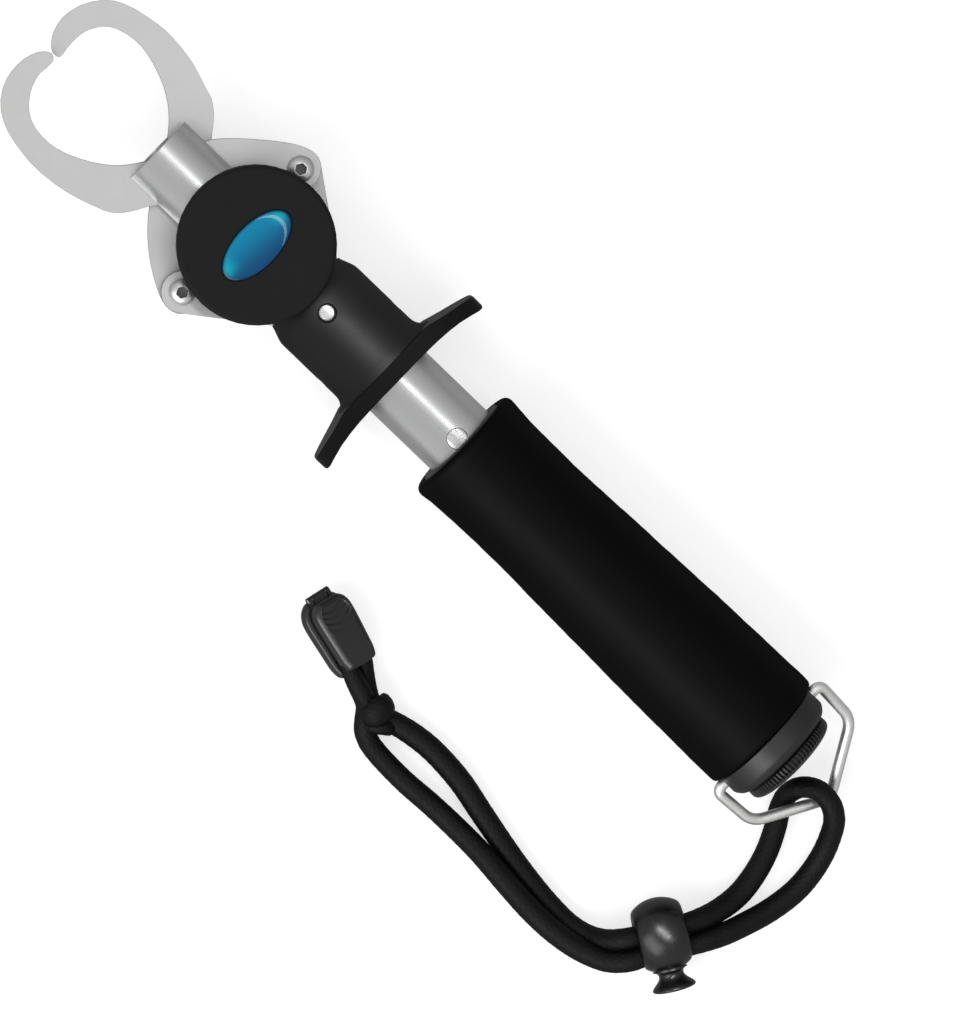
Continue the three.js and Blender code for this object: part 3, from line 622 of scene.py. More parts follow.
def tube_along(path, radius, sides, relief=None, dome=True):
    """Round bar along a path, its radius one value or one per point. relief(angle, length)
    adds to the radius. dome rounds off both ends."""
    normal, binormal = normals_along(path)
    lengths = arc_length(path)
    angle = np.arange(sides) * 2 * pi / sides
    column = np.asarray(radius, float).reshape(-1, 1)
    r = np.broadcast_to(column, (len(path), sides)).copy()
    if relief is not None:
        r = r + relief(angle[None, :], lengths[:, None])
    if dome:
        span = 0.9
        for i in range(len(path)):
            end = min(lengths[i], lengths[-1] - lengths[i])
            if end < span:
                r[i] *= sqrt(max(0.0, 1 - (1 - end / span) ** 2)) * 0.55 + 0.45
    across = np.cos(angle)[None, :, None] * normal[:, None, :]
    across = across + np.sin(angle)[None, :, None] * binormal[:, None, :]
    return loft(list(path[:, None, :] + r[:, :, None] * across))


def polar(verts):
    """Distance from the X axis and angle about it."""
    y, z = verts[:, 1], verts[:, 2]
    return np.hypot(y, z), np.arctan2(z, y)


def set_radius(verts, old, new):
    """Moves points off the axis from their old distance to a new one."""
    scale = np.where(old > 1e-6, new / np.maximum(old, 1e-6), 1.0)
    verts[:, 1] *= scale
    verts[:, 2] *= scale


def bevel(o, width, segments=2):
    m = o.modifiers.new("edge", "BEVEL")
    m.width = width * MM
    m.segments = segments
    m.limit_method = "ANGLE"
    m.angle_limit = radians(35)
    m.use_clamp_overlap = True
    m.miter_outer = "MITER_ARC"


def weigh_normals(o):
    m = o.modifiers.new("normals", "WEIGHTED_NORMAL")
    m.keep_sharp = True
    m.weight = 60
    m.mode = "FACE_AREA"


def tidy(o, width, angle=38):
    """Eased edges and area-weighted shading after the cuts."""
    shade(o.data, angle)
    bevel(o, width)
    weigh_normals(o)


# =====================================================================
# CAD nodes that keep their own shape
# =====================================================================
# Material, bevel width in mm, bevel segments, nodes
KEPT_NODES = (
    ("rivet", 0.12, 2, ["plug_rivet"]),
    ("spring", 0.2, 2, ["spring_plug"]),
    ("inner", 0.2, 2, ["tube_end_bush", "trigger_plunger"]),
    ("pin", 0.2, 2, ["plunger_pin"]),
    ("flange", 0.28, 3, ["finger_flange"]),
    ("cover", 0.2, 2, ["front_cover", "rear_cover"]),
    ("cover_screw", 0.1, 2, ["front_cover_screw_1", "front_cover_screw_2"]),
    ("cover_screw", 0.1, 2, ["rear_cover_screw_1", "rear_cover_screw_2"]),
    ("pin", 0.15, 2, ["jaw_pivot_pin"]),
    ("plate", 0.28, 2, ["jaw_a", "jaw_b", "link_a", "link_b"]),
    ("screw_steel", 0.14, 2, ["jaw_a_nut", "jaw_b_nut"]),
    ("inner", 0.12, 2, ["handle_sleeve", "mouth_bush"]),
    ("spring", 0.15, 2, ["scale_rod"]),
    ("spring", 0.2, 2, ["rod_nut"]),
    ("spring", 0.15, 2, ["rod_washer"]),
    ("pin", 0.1, 2, ["clip_hinge_pin"]),
)


def smooth_group(angle):
    """Node group that shades smooth below an angle and sharp above it."""
    group = bpy.data.node_groups.new("smooth_by_angle", "GeometryNodeTree")
    for direction in ("INPUT", "OUTPUT"):
        group.interface.new_socket(
            "Geometry", in_out=direction, socket_type="NodeSocketGeometry")
    source = group.nodes.new("NodeGroupInput")
    result = group.nodes.new("NodeGroupOutput")
    faces = group.nodes.new("GeometryNodeSetShadeSmooth")
    faces.domain = "FACE"
    edges = group.nodes.new("GeometryNodeSetShadeSmooth")
    edges.domain = "EDGE"
    edges.inputs["Shade Smooth"].default_value = False
    edge_angle = group.nodes.new("GeometryNodeInputMeshEdgeAngle")
    steep = group.nodes.new("ShaderNodeMath")
    steep.operation = "GREATER_THAN"
    steep.inputs[1].default_value = radians(angle)
    group.links.new(source.outputs[0], faces.inputs[0])
    group.links.new(faces.outputs[0], edges.inputs[0])
    group.links.new(edge_angle.outputs[0], steep.inputs[0])
    group.links.new(steep.outputs[0], edges.inputs["Selection"])
    group.links.new(edges.outputs[0], result.inputs[0])
    return group


def dress(node, material, width, segments, smooth):
    """A CAD node with welded facets, eased edges, smooth shading and its material."""
    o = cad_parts[node]
    o.data.materials.clear()
    o.data.materials.append(LIBRARY[material].material)
    o.modifiers.new("weld", "WELD").merge_threshold = 2e-6
    flat = o.modifiers.new("flat", "DECIMATE")
    flat.decimate_type = "DISSOLVE"
    flat.angle_limit = radians(0.6)
    bevel(o, width, segments)
    o.modifiers.new("smooth", "NODES").node_group = smooth
    weigh_normals(o)


SMOOTH = smooth_group(angle=40)
for material, width, segments, nodes in KEPT_NODES:
    for node in nodes:
        dress(node, material, width, segments, SMOOTH)

# =====================================================================
# Barrel tube and trigger sleeve: turned bodies with their slots and holes
# =====================================================================
TUBE_BORE, TUBE_RADIUS = 8.4, 9.6
SLEEVE_BORE = 9.7
ACROSS = (-20, 20)  # range that clears the tool

# Sleeve profile: x, radius
SLEEVE_PROFILE = [
    (9.5, SLEEVE_BORE), (9.5, 11.2), (12.5, 11.2), (16.2, 11.2), (16.9, 11.33), (17.5, 11.52),
    (18.3, 11.83), (19.2, 12.17), (19.9, 12.42), (20.5, 12.58), (21.1, 12.67), (21.8, 12.7),
    (24, 12.7), (27, 12.7), (30, 12.7), (33, 12.7), (36, 12.7), (38.4, 12.7), (39.2, 12.76),
    (39.9, 12.92), (40.5, 13.18), (41.0, 13.52), (41.4, 13.95), (41.7, 14.45), (41.95, 15.0),
    (42.3, 14.9), (42.3, 11.25), (45.8, 11.25), (45.8, SLEEVE_BORE), (40, SLEEVE_BORE),
    (30, SLEEVE_BORE), (20, SLEEVE_BORE),
]


def barrel():
    profile = [(-31.9, TUBE_BORE), (-31.9, 9.4), (-31.82, 9.54), (-31.7, TUBE_RADIUS)]
    profile += [(x, TUBE_RADIUS) for x in np.arange(-28, 156, 4.0)]
    profile += [(158, TUBE_RADIUS), (158, TUBE_BORE)]
    profile += [(x, TUBE_BORE) for x in np.arange(152, -30, -8.0)]
    o = piece("barrel_tube_turned", lathe(profile, 160), "tube", "barrel",
              "barrel_tube", sharp=38)
    cut(o, box(x=(-34, 21.5), y=ACROSS, z=(-3.0, 3.0)))
    cut(o, hole(x=-14, radius=2.65, end_x=-5))
    cut(o, hole(ANCHOR_X, radius=2.32))
    cut(o, hole(x=65.7, radius=2.57))
    cut(o, hole(SIDE_PIN_X, radius=1.75, end_x=SIDE_PIN_X + TRIGGER_TRAVEL, count=36, axis=1))
    tidy(o, width=0.1)


def anchor():
    """Cross pin along Z with domed ends."""
    # Upper half: radius, z
    half = [(2.25, 10.75), (2.22, 10.92), (2.12, 11.05), (1.9, 11.14), (1.5, 11.22),
            (1.0, 11.28), (0.5, 11.31), (0.0, 11.32)]
    profile = [(-z, r) for r, z in half[::-1]] + [(z, r) for r, z in half]
    verts, faces = lathe(profile, 64)
    piece("link_anchor_pin_domed", (verts[:, [1, 2, 0]], faces), "pin", "barrel",
          "link_anchor_pin", local=axis_frame(ANCHOR_X))


def sleeve():
    verts, faces = lathe(SLEEVE_PROFILE, 144)
    # The fillet into the flange runs out towards top and bottom.
    fillet_radius = 12.95
    radius, _ = polar(verts)
    verts[:, 2] *= np.where(radius > fillet_radius, fillet_radius / radius, 1.0)
    o = piece("trigger_sleeve_turned", (verts, faces), "black_metal", "trigger",
              "trigger_sleeve", sharp=30)
    slot = (-3.1, 3.1)
    cut(o, box(x=(5, 16.6), y=ACROSS, z=slot))
    # The slot runs on inside the wall, where the links turn.
    cut(o, box(x=(5, 19.6), y=(-10.9, 10.9), z=slot))
    cut(o, box(x=(11.2, ANCHOR_X), y=(-2.6, 2.6), z=(-11.35, 11.35)))
    cut(o, hole(ANCHOR_X, radius=2.34))
    cut(o, hole(SIDE_PIN_X, radius=1.57, count=36, axis=1))
    tidy(o, width=0.12, angle=30)


def sleeve_tongue(side, z):
    """Curved tongue that reaches out of the sleeve towards -X, with two holes."""
    o = piece("trigger_sleeve_tongue_" + side, box(x=(-8, 10.5), y=(-8.2, 8.2), z=z),
              "black_metal", "trigger", "trigger_sleeve", sharp=30)
    cut(o, lathe([(-12, 0), (-12, SLEEVE_BORE), (14, SLEEVE_BORE), (14, 0)], 96))
    for y in (-6, 6):
        cut(o, hole(x=0, y=y, radius=1.3, count=28))
    tidy(o, width=0.1, angle=30)


def ear_screw(name, y, body, node):
    """Pivot screw at a jaw's ear: plain shank, domed head, hexagon socket."""
    # Head dome: z, radius
    dome = [(3.2, 3.2), (3.45, 3.14), (3.75, 3.0), (4.05, 2.79), (4.3, 2.52), (4.5, 2.2),
            (4.63, 1.9), (4.7, 1.72)]
    profile = [(-4.9, 0), (-4.9, 1.72), (-4.66, 1.96), (-4.5, 1.98), (2.73, 1.98), (2.73, 3.08),
               (2.84, 3.2), *spline(dome, 0.08), (4.74, 1.62), (4.75, 0)]
    verts, faces = lathe(profile, 72)
    local = axis_frame(EAR_X, y)
    o = piece(name, (verts[:, [1, 2, 0]], faces), "screw_steel", body, node,
              sharp=34, local=local)
    cut(o, prism(circle(0, 0, SOCKET_RADIUS, 6), 3.2, 6.0), local)
    shade(o.data, 34)


barrel()
anchor()
sleeve()
sleeve_tongue("upper", z=(6.9, 11.0))
sleeve_tongue("lower", z=(-11.0, -6.9))
ear_screw("jaw_a_screw_head", EAR_Y, "upper_jaw", "jaw_a_screw")
ear_screw("jaw_b_screw_head", -EAR_Y, "lower_jaw", "jaw_b_screw")

# =====================================================================
# Foam grip: waisted sleeve with a rolled mouth, slightly uneven skin
# =====================================================================
# Outer skin, mouth first: x, radius
GRIP_SKIN = [
    (67.75, 13.1), (67.6, 13.45), (67.6, 13.95), (67.78, 14.5), (68.15, 15.0), (68.75, 15.36),
    (69.5, 15.5), (70.5, 15.42), (72.2, 15.22), (74.6, 15.02), (78, 14.86), (83, 14.77),
    (89, 14.74), (95, 14.78), (103, 15.0), (111, 15.26), (119, 15.5), (128, 15.76),
    (138, 16.0), (147, 16.2), (155, 16.34), (161, 16.4), (165.6, 16.42), (166.9, 16.34),
    (167.45, 16.0), (167.66, 15.4), (167.7, 14.9),
]
# Unevenness: height, radians per mm along x, waves around
GRIP_WAVES = [(0.030, 0.21, 2), (0.024, 0.47, -3), (0.016, 0.9, 5), (0.012, 1.7, -4)]


def foam_grip():
    profile = [*spline(GRIP_SKIN, 0.45), (167.66, 14.2), (167.66, 13.2), (167.5, 12.6),
               (167.2, 12.38)]
    profile += [(x, 12.36) for x in np.linspace(160, 72, 12)]
    profile += [(68.2, 12.36), (67.8, 12.5), (67.72, 12.8)]
    verts, faces = lathe(profile, 144)
    phases = np.random.default_rng(7).uniform(0, 2 * pi, 12)
    radius, angle = polar(verts)
    x = verts[:, 0]
    skin = (radius > 13.9) & (x > 69.5) & (x < 166)
    wave = sum(height * np.sin(x * rate + lobes * angle + phase)
               for (height, rate, lobes), phase in zip(GRIP_WAVES, phases))
    set_radius(verts, radius, np.where(skin, radius + wave, radius))
    piece("foam_grip_sleeve", (verts, faces), "foam", "handle", "foam_grip")


foam_grip()

# =====================================================================
# End collar and ribbed knob
# =====================================================================
# Collar profile: x, radius, corner radius
COLLAR_PROFILE = [
    (162.5, 8.6, 0.2), (162.5, 10.95, 0.2), (168.0, 10.95, 0.15), (168.0, 14.8, 0.3),
    (172.7, 14.8, 0.5), (174.1, 13.75, 0.3), (174.6, 12.9, 0.3), (174.8, 11.6, 0.15),
    (174.8, 2.65, 0.15), (171.5, 2.65, 0.15), (171.5, 8.6, 0.2),
]
# Knob's outer skin, rim first: x, radius
KNOB_SKIN = [
    (175.05, 11.7), (175.15, 12.1), (175.35, 12.33), (175.7, 12.4), (176.2, 12.4),
    (176.7, 12.38), (177.1, 12.22), (177.45, 11.95), (177.75, 11.55), (178.0, 11.05),
    (178.25, 10.4), (178.5, 9.3), (178.75, 7.6), (178.95, 5.6), (179.1, 3.4), (179.18, 1.4),
]
KNOB_RIBS, SIDES_PER_RIB, RIB_DEPTH = 72, 8, 0.85


def end_collar():
    points = [(x, radius) for x, radius, _ in COLLAR_PROFILE]
    corners = [corner for _, _, corner in COLLAR_PROFILE]
    o = piece("end_collar_ring", lathe(bend_corners(points, corners, 5), 128), "collar",
              "handle", "end_collar", sharp=40)
    # Bail holes, flared at the outer face: y, radius
    hole_stations = ((12.4, 1.55), (14.45, 1.55), (14.85, 1.9), (16.0, 1.9))
    for side in (-1, 1):
        cut(o, loft([[(x, side * y, z) for x, z in circle(BAIL_X, 0, radius, 28)]
                     for y, radius in hole_stations]))
    shade(o.data)


def zero_knob():
    profile = [(179.2, 0.0), *spline(KNOB_SKIN, 0.22)[::-1]]
    profile += [(175.0, 11.2), (175.0, 8.0), (175.0, 2.7), (175.3, 2.6), (177.4, 2.6),
                (177.45, 0.0)]
    verts, faces = lathe(profile, KNOB_RIBS * SIDES_PER_RIB)
    radius, angle = polar(verts)
    phase = np.mod(np.mod(angle, 2 * pi) * KNOB_RIBS / (2 * pi), 1.0)
    groove = np.clip(0.5 + 0.75 * np.cos(2 * pi * phase), 0, 1) ** 1.1
    x = verts[:, 0]
    fade = np.clip((x - 175.0) / 0.1, 0, 1) * np.clip((177.7 - x) / 0.5, 0, 1) * (radius > 11.2)
    set_radius(verts, radius, radius - RIB_DEPTH * groove * fade)
    piece("zero_knob_ribbed", (verts, faces), "knob", "knob", "zero_knob")


end_collar()
zero_knob()

# =====================================================================
# Bail: one bent wire
# =====================================================================
BAIL_FOOT_Y, BAIL_ARM_Y, BAIL_TIP_X = 12.9, 17.6, 24.8
BAIL_TILT = 25  # degrees about Y


def bail():
    # One side: x, y, bend radius
    half = [(0, BAIL_FOOT_Y, 0), (0, BAIL_ARM_Y, 2.2), (13.3, BAIL_ARM_Y - 0.6, 3.2)]
    corners = half + [(BAIL_TIP_X, 0, 3.4)] + [(x, -y, bend) for x, y, bend in half[::-1]]
    points = bend_corners([(x, y) for x, y, _ in corners], [bend for _, _, bend in corners], 12)
    path = np.array([(x, y, 0.0) for x, y in points])
    lengths = arc_length(path)
    path = resample(path, lengths, np.linspace(0, lengths[-1], int(lengths[-1] / 0.45)))
    local = axis_frame(BAIL_X, turn=Matrix.Rotation(radians(BAIL_TILT), 4, "Y"))
    piece("bail_wire_round", tube_along(path, radius=1.4, sides=36), "wire", "bail",
          "bail_wire", local=local)


bail()

# =====================================================================
# Lanyard cord: a hollow braid, over and under, and its knot
# =====================================================================
# x, y, z and the cord's radius there: it is squeezed in the clip and lock.
CORD = [
    (85.37, -52.28, -10.85, 2.05), (87.9, -53.4, -11.2, 2.15), (90.2, -55.4, -12.3, 2.4),
    (92.6, -57.4, -13.3, 2.6), (95.2, -59.1, -13.5, 2.6), (98.0, -60.2, -13.4, 2.55),
    (101.0, -60.1, -13.3, 2.6), (104.4, -59.2, -13.4, 2.75), (109.3, -58.2, -13.6, 2.85),
    (115.1, -57.7, -13.55, 2.86), (124.8, -58.4, -13.55, 2.86), (134.1, -60.4, -13.6, 2.8),
    (143.5, -62.4, -13.7, 2.72), (152.0, -63.9, -13.8, 2.66), (161.0, -65.0, -13.8, 2.66),
    (168.5, -65.1, -13.6, 2.66), (173.2, -63.9, -12.2, 2.66), (176.6, -61.7, -9.8, 2.68),
    (179.2, -58.54, -7.6, 2.66), (180.86, -56.04, -7.3, 2.58), (183.97, -50.91, -7.3, 2.5),
    (187.22, -45.86, -7.3, 2.59), (188.9, -43.0, -7.9, 2.7), (191.1, -38.2, -10.2, 2.82),
    (192.4, -32.0, -12.5, 2.86), (191.9, -25.85, -13.3, 2.82), (190.2, -19.66, -13.5, 2.76),
    (187.6, -14.1, -13.5, 2.7), (185.3, -10.3, -13.1, 2.64), (183.9, -6.6, -11.2, 2.58),
    (184.6, -3.0, -8.1, 2.56), (187.7, -0.7, -5.4, 2.55), (191.9, -0.9, -4.7, 2.57),
    (195.4, -3.0, -6.0, 2.62), (198.0, -6.6, -8.6, 2.68), (200.1, -11.13, -11.0, 2.76),
    (201.5, -16.75, -12.8, 2.82), (201.8, -22.2, -13.5, 2.86), (200.6, -29.2, -12.9, 2.86),
    (198.2, -36.0, -11.0, 2.84), (195.7, -41.6, -8.9, 2.76), (193.16, -46.05, -7.4, 2.60),
    (191.64, -48.63, -7.3, 2.5), (188.46, -53.72, -7.3, 2.5), (185.21, -58.77, -7.3, 2.58),
    (183.69, -61.35, -7.5, 2.68), (180.2, -64.9, -8.5, 2.74), (174.0, -67.5, -9.4, 2.78),
    (166.6, -68.8, -9.7, 2.8), (159.0, -69.0, -10.0, 2.8), (150.6, -68.4, -10.6, 2.8),
    (140.3, -67.4, -11.7, 2.8), (132.2, -67.2, -13.0, 2.78), (124.13, -67.3, -13.6, 2.74),
    (116.01, -67.7, -13.6, 2.68), (110.2, -67.6, -13.4, 2.64), (106.0, -67.3, -12.9, 2.62),
    (102.7, -66.7, -12.3, 2.6), (99.9, -65.3, -11.7, 2.58), (97.9, -63.1, -11.3, 2.52),
    (96.3, -61.1, -10.6, 2.5), (94.3, -59.9, -9.4, 2.5), (91.8, -59.0, -8.9, 2.45),
    (89.2, -58.1, -8.8, 2.3), (86.94, -57.2, -8.84, 2.1), (84.15, -56.45, -8.84, 2.05),
]
CARRIERS = 14  # strands each way round
STRAND_PITCH = 1.15  # mm along the cord per strand
BRAID_DEPTH = 0.20

# The knot's own directions: along its axis, and level across it
KNOT_AXIS = np.array([0.72, -0.69, 0.0])
KNOT_ACROSS = np.array([0.69, 0.72, 0.0])
KNOT_CENTRE = np.array([98.5, -60.0, -10.7])


def braid(angle, length):
    """Height of a diamond braid over the mean skin: the strand on top and the one it hides."""
    around = angle * CARRIERS / (2 * pi)
    u = around + length / (2 * STRAND_PITCH)
    v = around - length / (2 * STRAND_PITCH)
    height_u = np.abs(np.sin(pi * u)) ** 0.7
    height_v = np.abs(np.sin(pi * v)) ** 0.7
    u_on_top = np.sin(pi * (u + v)) * np.sin(pi * (u - v)) > 0
    top = np.where(u_on_top, height_u * 0.75 + height_v * 0.25,
                   height_v * 0.75 + height_u * 0.25)
    return BRAID_DEPTH * (top - 0.72)


def cord_piece(name, solid):
    piece(name, solid, "cord", "lanyard", "wrist_cord", sharp=180)


def cord():
    path = spline(CORD, 0.28)
    cord_piece("wrist_cord_braid",
               tube_along(path[:, :3], path[:, 3], 56, relief=braid, dome=False))


def turn_path(centre, degrees, drift, across, height, step):
    """A turn about the knot's axis that drifts along it as it goes round."""
    points = []
    for d in degrees:
        w = radians(d)
        points.append(centre + KNOT_AXIS * (drift[0] * (d - 90) / drift[1])
                      + KNOT_ACROSS * (across * cos(w)) + np.array([0, 0, 1.0]) * (height * sin(w)))
    return spline(points, step)


def knot():
    """The turn of the overhand knot that lies on top, swollen along its axis into a ball."""
    path = turn_path(KNOT_CENTRE, np.arange(-42, 223, 9), drift=(0.5, 140), across=2.35,
                     height=2.35, step=0.24)
    verts, faces = tube_along(path, 2.15, 64, relief=braid)
    along = (verts - KNOT_CENTRE) @ KNOT_AXIS
    across = (verts - KNOT_CENTRE) @ KNOT_ACROSS
    swell = 1.66 * np.sqrt(np.clip(1.0 - (across / 6.4) ** 2, 0.1, 1))
    verts = verts + np.outer(along * (swell - 1.0), KNOT_AXIS)
    cord_piece("wrist_cord_knot", (verts, faces))


def knot_turn():
    """A smaller turn beside the ball."""
    path = turn_path(np.array([101.7, -62.6, -12.2]), np.arange(-10, 205, 12),
                     drift=(-0.9, 120), across=2.6, height=2.0, step=0.26)
    cord_piece("wrist_cord_knot_turn", tube_along(path, 1.7, 48, relief=braid))


cord()
knot()
knot_turn()

# =====================================================================
# Cord lock: flatted ball with a cross tunnel, and its flared button
# =====================================================================
LOCK = axis_frame(184.94, -51.52, -7.3, Matrix.Rotation(radians(-32), 4, "Z"))
BALL_RADIUS = 9.1
BALL_FLAT = 6.1  # half width over the flats, along Y
TUNNEL_X = (-3.85, 6.85)
TUNNEL_Z = (-2.9, 2.9)
BUTTON_RADIUS = 4.25


def soft_limit(values, limit, width):
    """Holds |value| under a limit with a rounded shoulder of the given width."""
    size = np.abs(values)
    blend = np.clip(0.5 + 0.5 * (limit - size) / width, 0, 1)
    held = size * blend + limit * (1 - blend) - width * blend * (1 - blend)
    return np.sign(values) * held


def lock():
    steps = 72
    profile = [(-BALL_RADIUS, 0.0)]
    for i in range(1, steps):
        angle = pi * (1 - i / steps)
        profile.append((BALL_RADIUS * cos(angle), BALL_RADIUS * sin(angle)))
    profile.append((BALL_RADIUS, 0.0))
    verts, faces = lathe(profile, 112)
    verts[:, 1] = soft_limit(verts[:, 1], BALL_FLAT, width=1.0)
    o = piece("lock_body_ball", (verts, faces), "lock", "cord_lock",
              "lock_body", sharp=44, local=LOCK)
    # Button bore: x, radius
    bore = [(-8.2, 0), (-8.2, 3.6), (-7.1, 3.6), (-7.1, 4.45), (8.0, 4.45), (8.3, 4.9),
            (12, 5.2), (12, 0)]
    cut(o, lathe(bore, 48), LOCK)
    (x0, x1), (z0, z1) = TUNNEL_X, TUNNEL_Z
    inner = bend_corners([(x0, z0), (x1, z0), (x1, z1), (x0, z1)], 2.0, 8)
    flare, middle_x = 0.5, (x0 + x1) / 2
    mouth = [(x + (flare if x > middle_x else -flare), z + (flare if z > 0 else -flare))
             for x, z in inner]
    stations = ((-9, mouth), (-6.15, mouth), (-5.3, inner), (5.3, inner), (6.15, mouth), (9, mouth))
    cut(o, loft([[(x, y, z) for x, z in ring] for y, ring in stations]), LOCK)
    shade(o.data, 32)


def button():
    # Neck and flared head: x, radius
    head = [(8.5, 4.25), (8.65, 3.85), (8.95, 3.35), (9.5, 3.05), (10.1, 3.05), (10.7, 3.35),
            (11.3, 3.9), (11.9, 4.55), (12.4, 5.05), (12.8, 5.28), (13.08, 5.26), (13.3, 5.02),
            (13.42, 4.6), (13.46, 4.1), (13.4, 3.2), (13.2, 2.0), (13.12, 0.8)]
    profile = [(-4.75, 0), (-4.75, 4.0), (-4.5, BUTTON_RADIUS)]
    profile += [(x, BUTTON_RADIUS) for x in np.linspace(-3.5, 8.2, 14)]
    profile += [*spline(head, 0.2), (13.1, 0)]
    o = piece("lock_button_flared", lathe(profile, 112), "lock", "lock_plunger",
              "lock_button", sharp=44, local=LOCK)
    cut(o, block(x=(TUNNEL_X[0], 8.5), y=(-12, 12), z=TUNNEL_Z, radius=1.2), LOCK)
    shade(o.data, 34)


lock()
button()

# =====================================================================
# Compression springs: round wire, closed end coils.
# =====================================================================


def spring(name, start, end, radius, turns, wire, body, node, local=TOOL):
    """Coil about X from start to end."""
    closed = 0.75  # turns in each end coil
    total = turns + 2 * closed
    end_pitch = 2.05 * wire
    open_length = (end - start - 2 * wire) - 2 * closed * end_pitch
    turn = np.linspace(0, 1, int(total * 30) + 1) * total
    x = start + wire + end_pitch * np.clip(turn, 0, closed)
    x = x + open_length * np.clip((turn - closed) / turns, 0, 1)
    x = x + end_pitch * np.clip(turn - closed - turns, 0, closed)
    angle = turn * 2 * pi
    path = np.stack([x, radius * np.cos(angle), radius * np.sin(angle)], axis=1)
    o = piece(name, tube_along(path, wire, 14), "spring", body, node,
              local=local)
    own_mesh(o)


spring("trigger_spring_coil", start=39.4, end=59.7, radius=5.8, turns=5, wire=0.65,
       body="barrel",
       node="trigger_spring")
spring("scale_spring_coil", start=85.4, end=149.8, radius=6.0, turns=10, wire=0.8,
       body="knob", node="scale_spring")
spring("lock_spring_coil", start=-8.2, end=-4.85, radius=3.2, turns=2, wire=0.22,
       body="cord_lock",
       node="lock_spring", local=LOCK)

# =====================================================================
# Clip: two moulded shells with a stepped, ridged lid
# =====================================================================
CLIP = axis_frame(79.0, -52.7, -9.85, Matrix.Rotation(radians(-16.2), 4, "Z")
                  @ Matrix.Rotation(radians(-25), 4, "X"))
# +Y half of the outline: x, y
CLIP_HALF = [(-9.4, 3.2), (-8.0, 4.9), (-5.8, 5.85), (-3.0, 5.9), (7.0, 5.35), (9.2, 4.7),
             (10.0, 3.6)]
# Side walls from the seam outwards: height, inset from the outline
LID_WALL = ((0.75, 1.05), (0.85, 0.86), (1.05, 0.76), (2.0, 0.74), (3.2, 0.76), (3.5, 0.82),
            (3.72, 0.98), (3.98, 1.30), (4.16, 1.55), (4.28, 1.74), (4.36, 1.95))
BASE_WALL = ((0.35, 0.30), (0.45, 0.08), (0.65, -0.08), (1.1, -0.28), (1.8, -0.42),
             (2.5, -0.36), (3.1, -0.12), (3.6, 0.30), (3.95, 0.80), (4.2, 1.35), (4.34, 1.95))
TOP_INSET, TOP_HEIGHT = 1.95, 4.4
LID_STEPS = ((-5.7, 0.24), (-4.2, 0.24), (-2.7, 0.22), (-1.0, 0.10))  # x, depth
HINGE_X = -9.95


def inset(ring, distance):
    ring = np.asarray(ring, float)
    tangent = np.roll(ring, -1, 0) - np.roll(ring, 1, 0)
    normal = np.stack([tangent[:, 1], -tangent[:, 0]], 1)
    normal /= np.linalg.norm(normal, axis=1)[:, None]
    if np.mean(np.sum(normal * (ring - ring.mean(0)), 1)) > 0:
        normal = -normal
    return ring + normal * distance


def clip_outline():
    ring = bend_corners(CLIP_HALF + [(x, -y) for x, y in CLIP_HALF[::-1]], 1.3, 6)
    loop = np.vstack([ring, ring[:1]])
    lengths = arc_length(loop)
    return resample(loop, lengths, np.linspace(0, lengths[-1], 160, endpoint=False))


def share(value):
    return max(0.0, min(1.0, value))


def lid_height(x, y):
    """Lid top: curved steps towards the hinge end, with a slight fall at both ends."""
    bowed = x + 0.075 * y * y
    z = TOP_HEIGHT
    for step_x, depth in LID_STEPS:
        off = (bowed - step_x) / 0.45
        z -= depth * exp(-off * off)
    fall = share((-1.6 - bowed) / 4.2)
    z -= 0.34 * fall * fall
    return z - 0.10 * share((bowed - 0.5) / 6.0)


def base_height(x, y):
    return TOP_HEIGHT


def shell(wall, height):
    """Half of the clip: side wall, then rings that shrink over the top."""
    outline = clip_outline()
    rings = [[(x, y, z) for x, y in inset(outline, depth)] for z, depth in wall]
    top = inset(outline, TOP_INSET)
    centre = np.array([0.3, 0.0])
    for k in np.linspace(0.96, 0.03, 30):
        rings.append([(x, y, height(x, y)) for x, y in centre + (top - centre) * k])
    return loft(rings)


def knuckle(y, web):
    """Hinge knuckle: a round lug with a web into the shell."""
    radius = 0.95
    outline = arc(HINGE_X, 0, radius, 90, 270, 15)
    outline += [(HINGE_X + web, -radius), (HINGE_X + web, radius)]
    return prism(outline, *y, axis=1)


def cut_mouth(o):
    """Opening at the cord's end."""
    cut(o, block(x=(5.8, 12), y=(-4.5, 4.5), z=(-2.5, 2.5), radius=0.7), CLIP)


def cut_hinge_hole(o):
    cut(o, prism(circle(HINGE_X, 0, 0.66, 20), -9, 9, axis=1), CLIP)
    shade(o.data, 40)


def clip_lid():
    """Narrower than the base, with two knuckles."""
    o = piece("clip_lid_shell", shell(LID_WALL, lid_height), "clip", "clip_cover",
              "clip_lid", sharp=50, local=CLIP)
    cut_mouth(o)
    cut(o, box(x=(-12, -8.4), y=(-2.2, 2.2), z=(-0.2, 1.4)), CLIP)
    for y in ((2.2, 3.15), (-3.15, -2.2)):
        cut(o, knuckle(y, web=3.2), CLIP, "UNION")
    cut_hinge_hole(o)


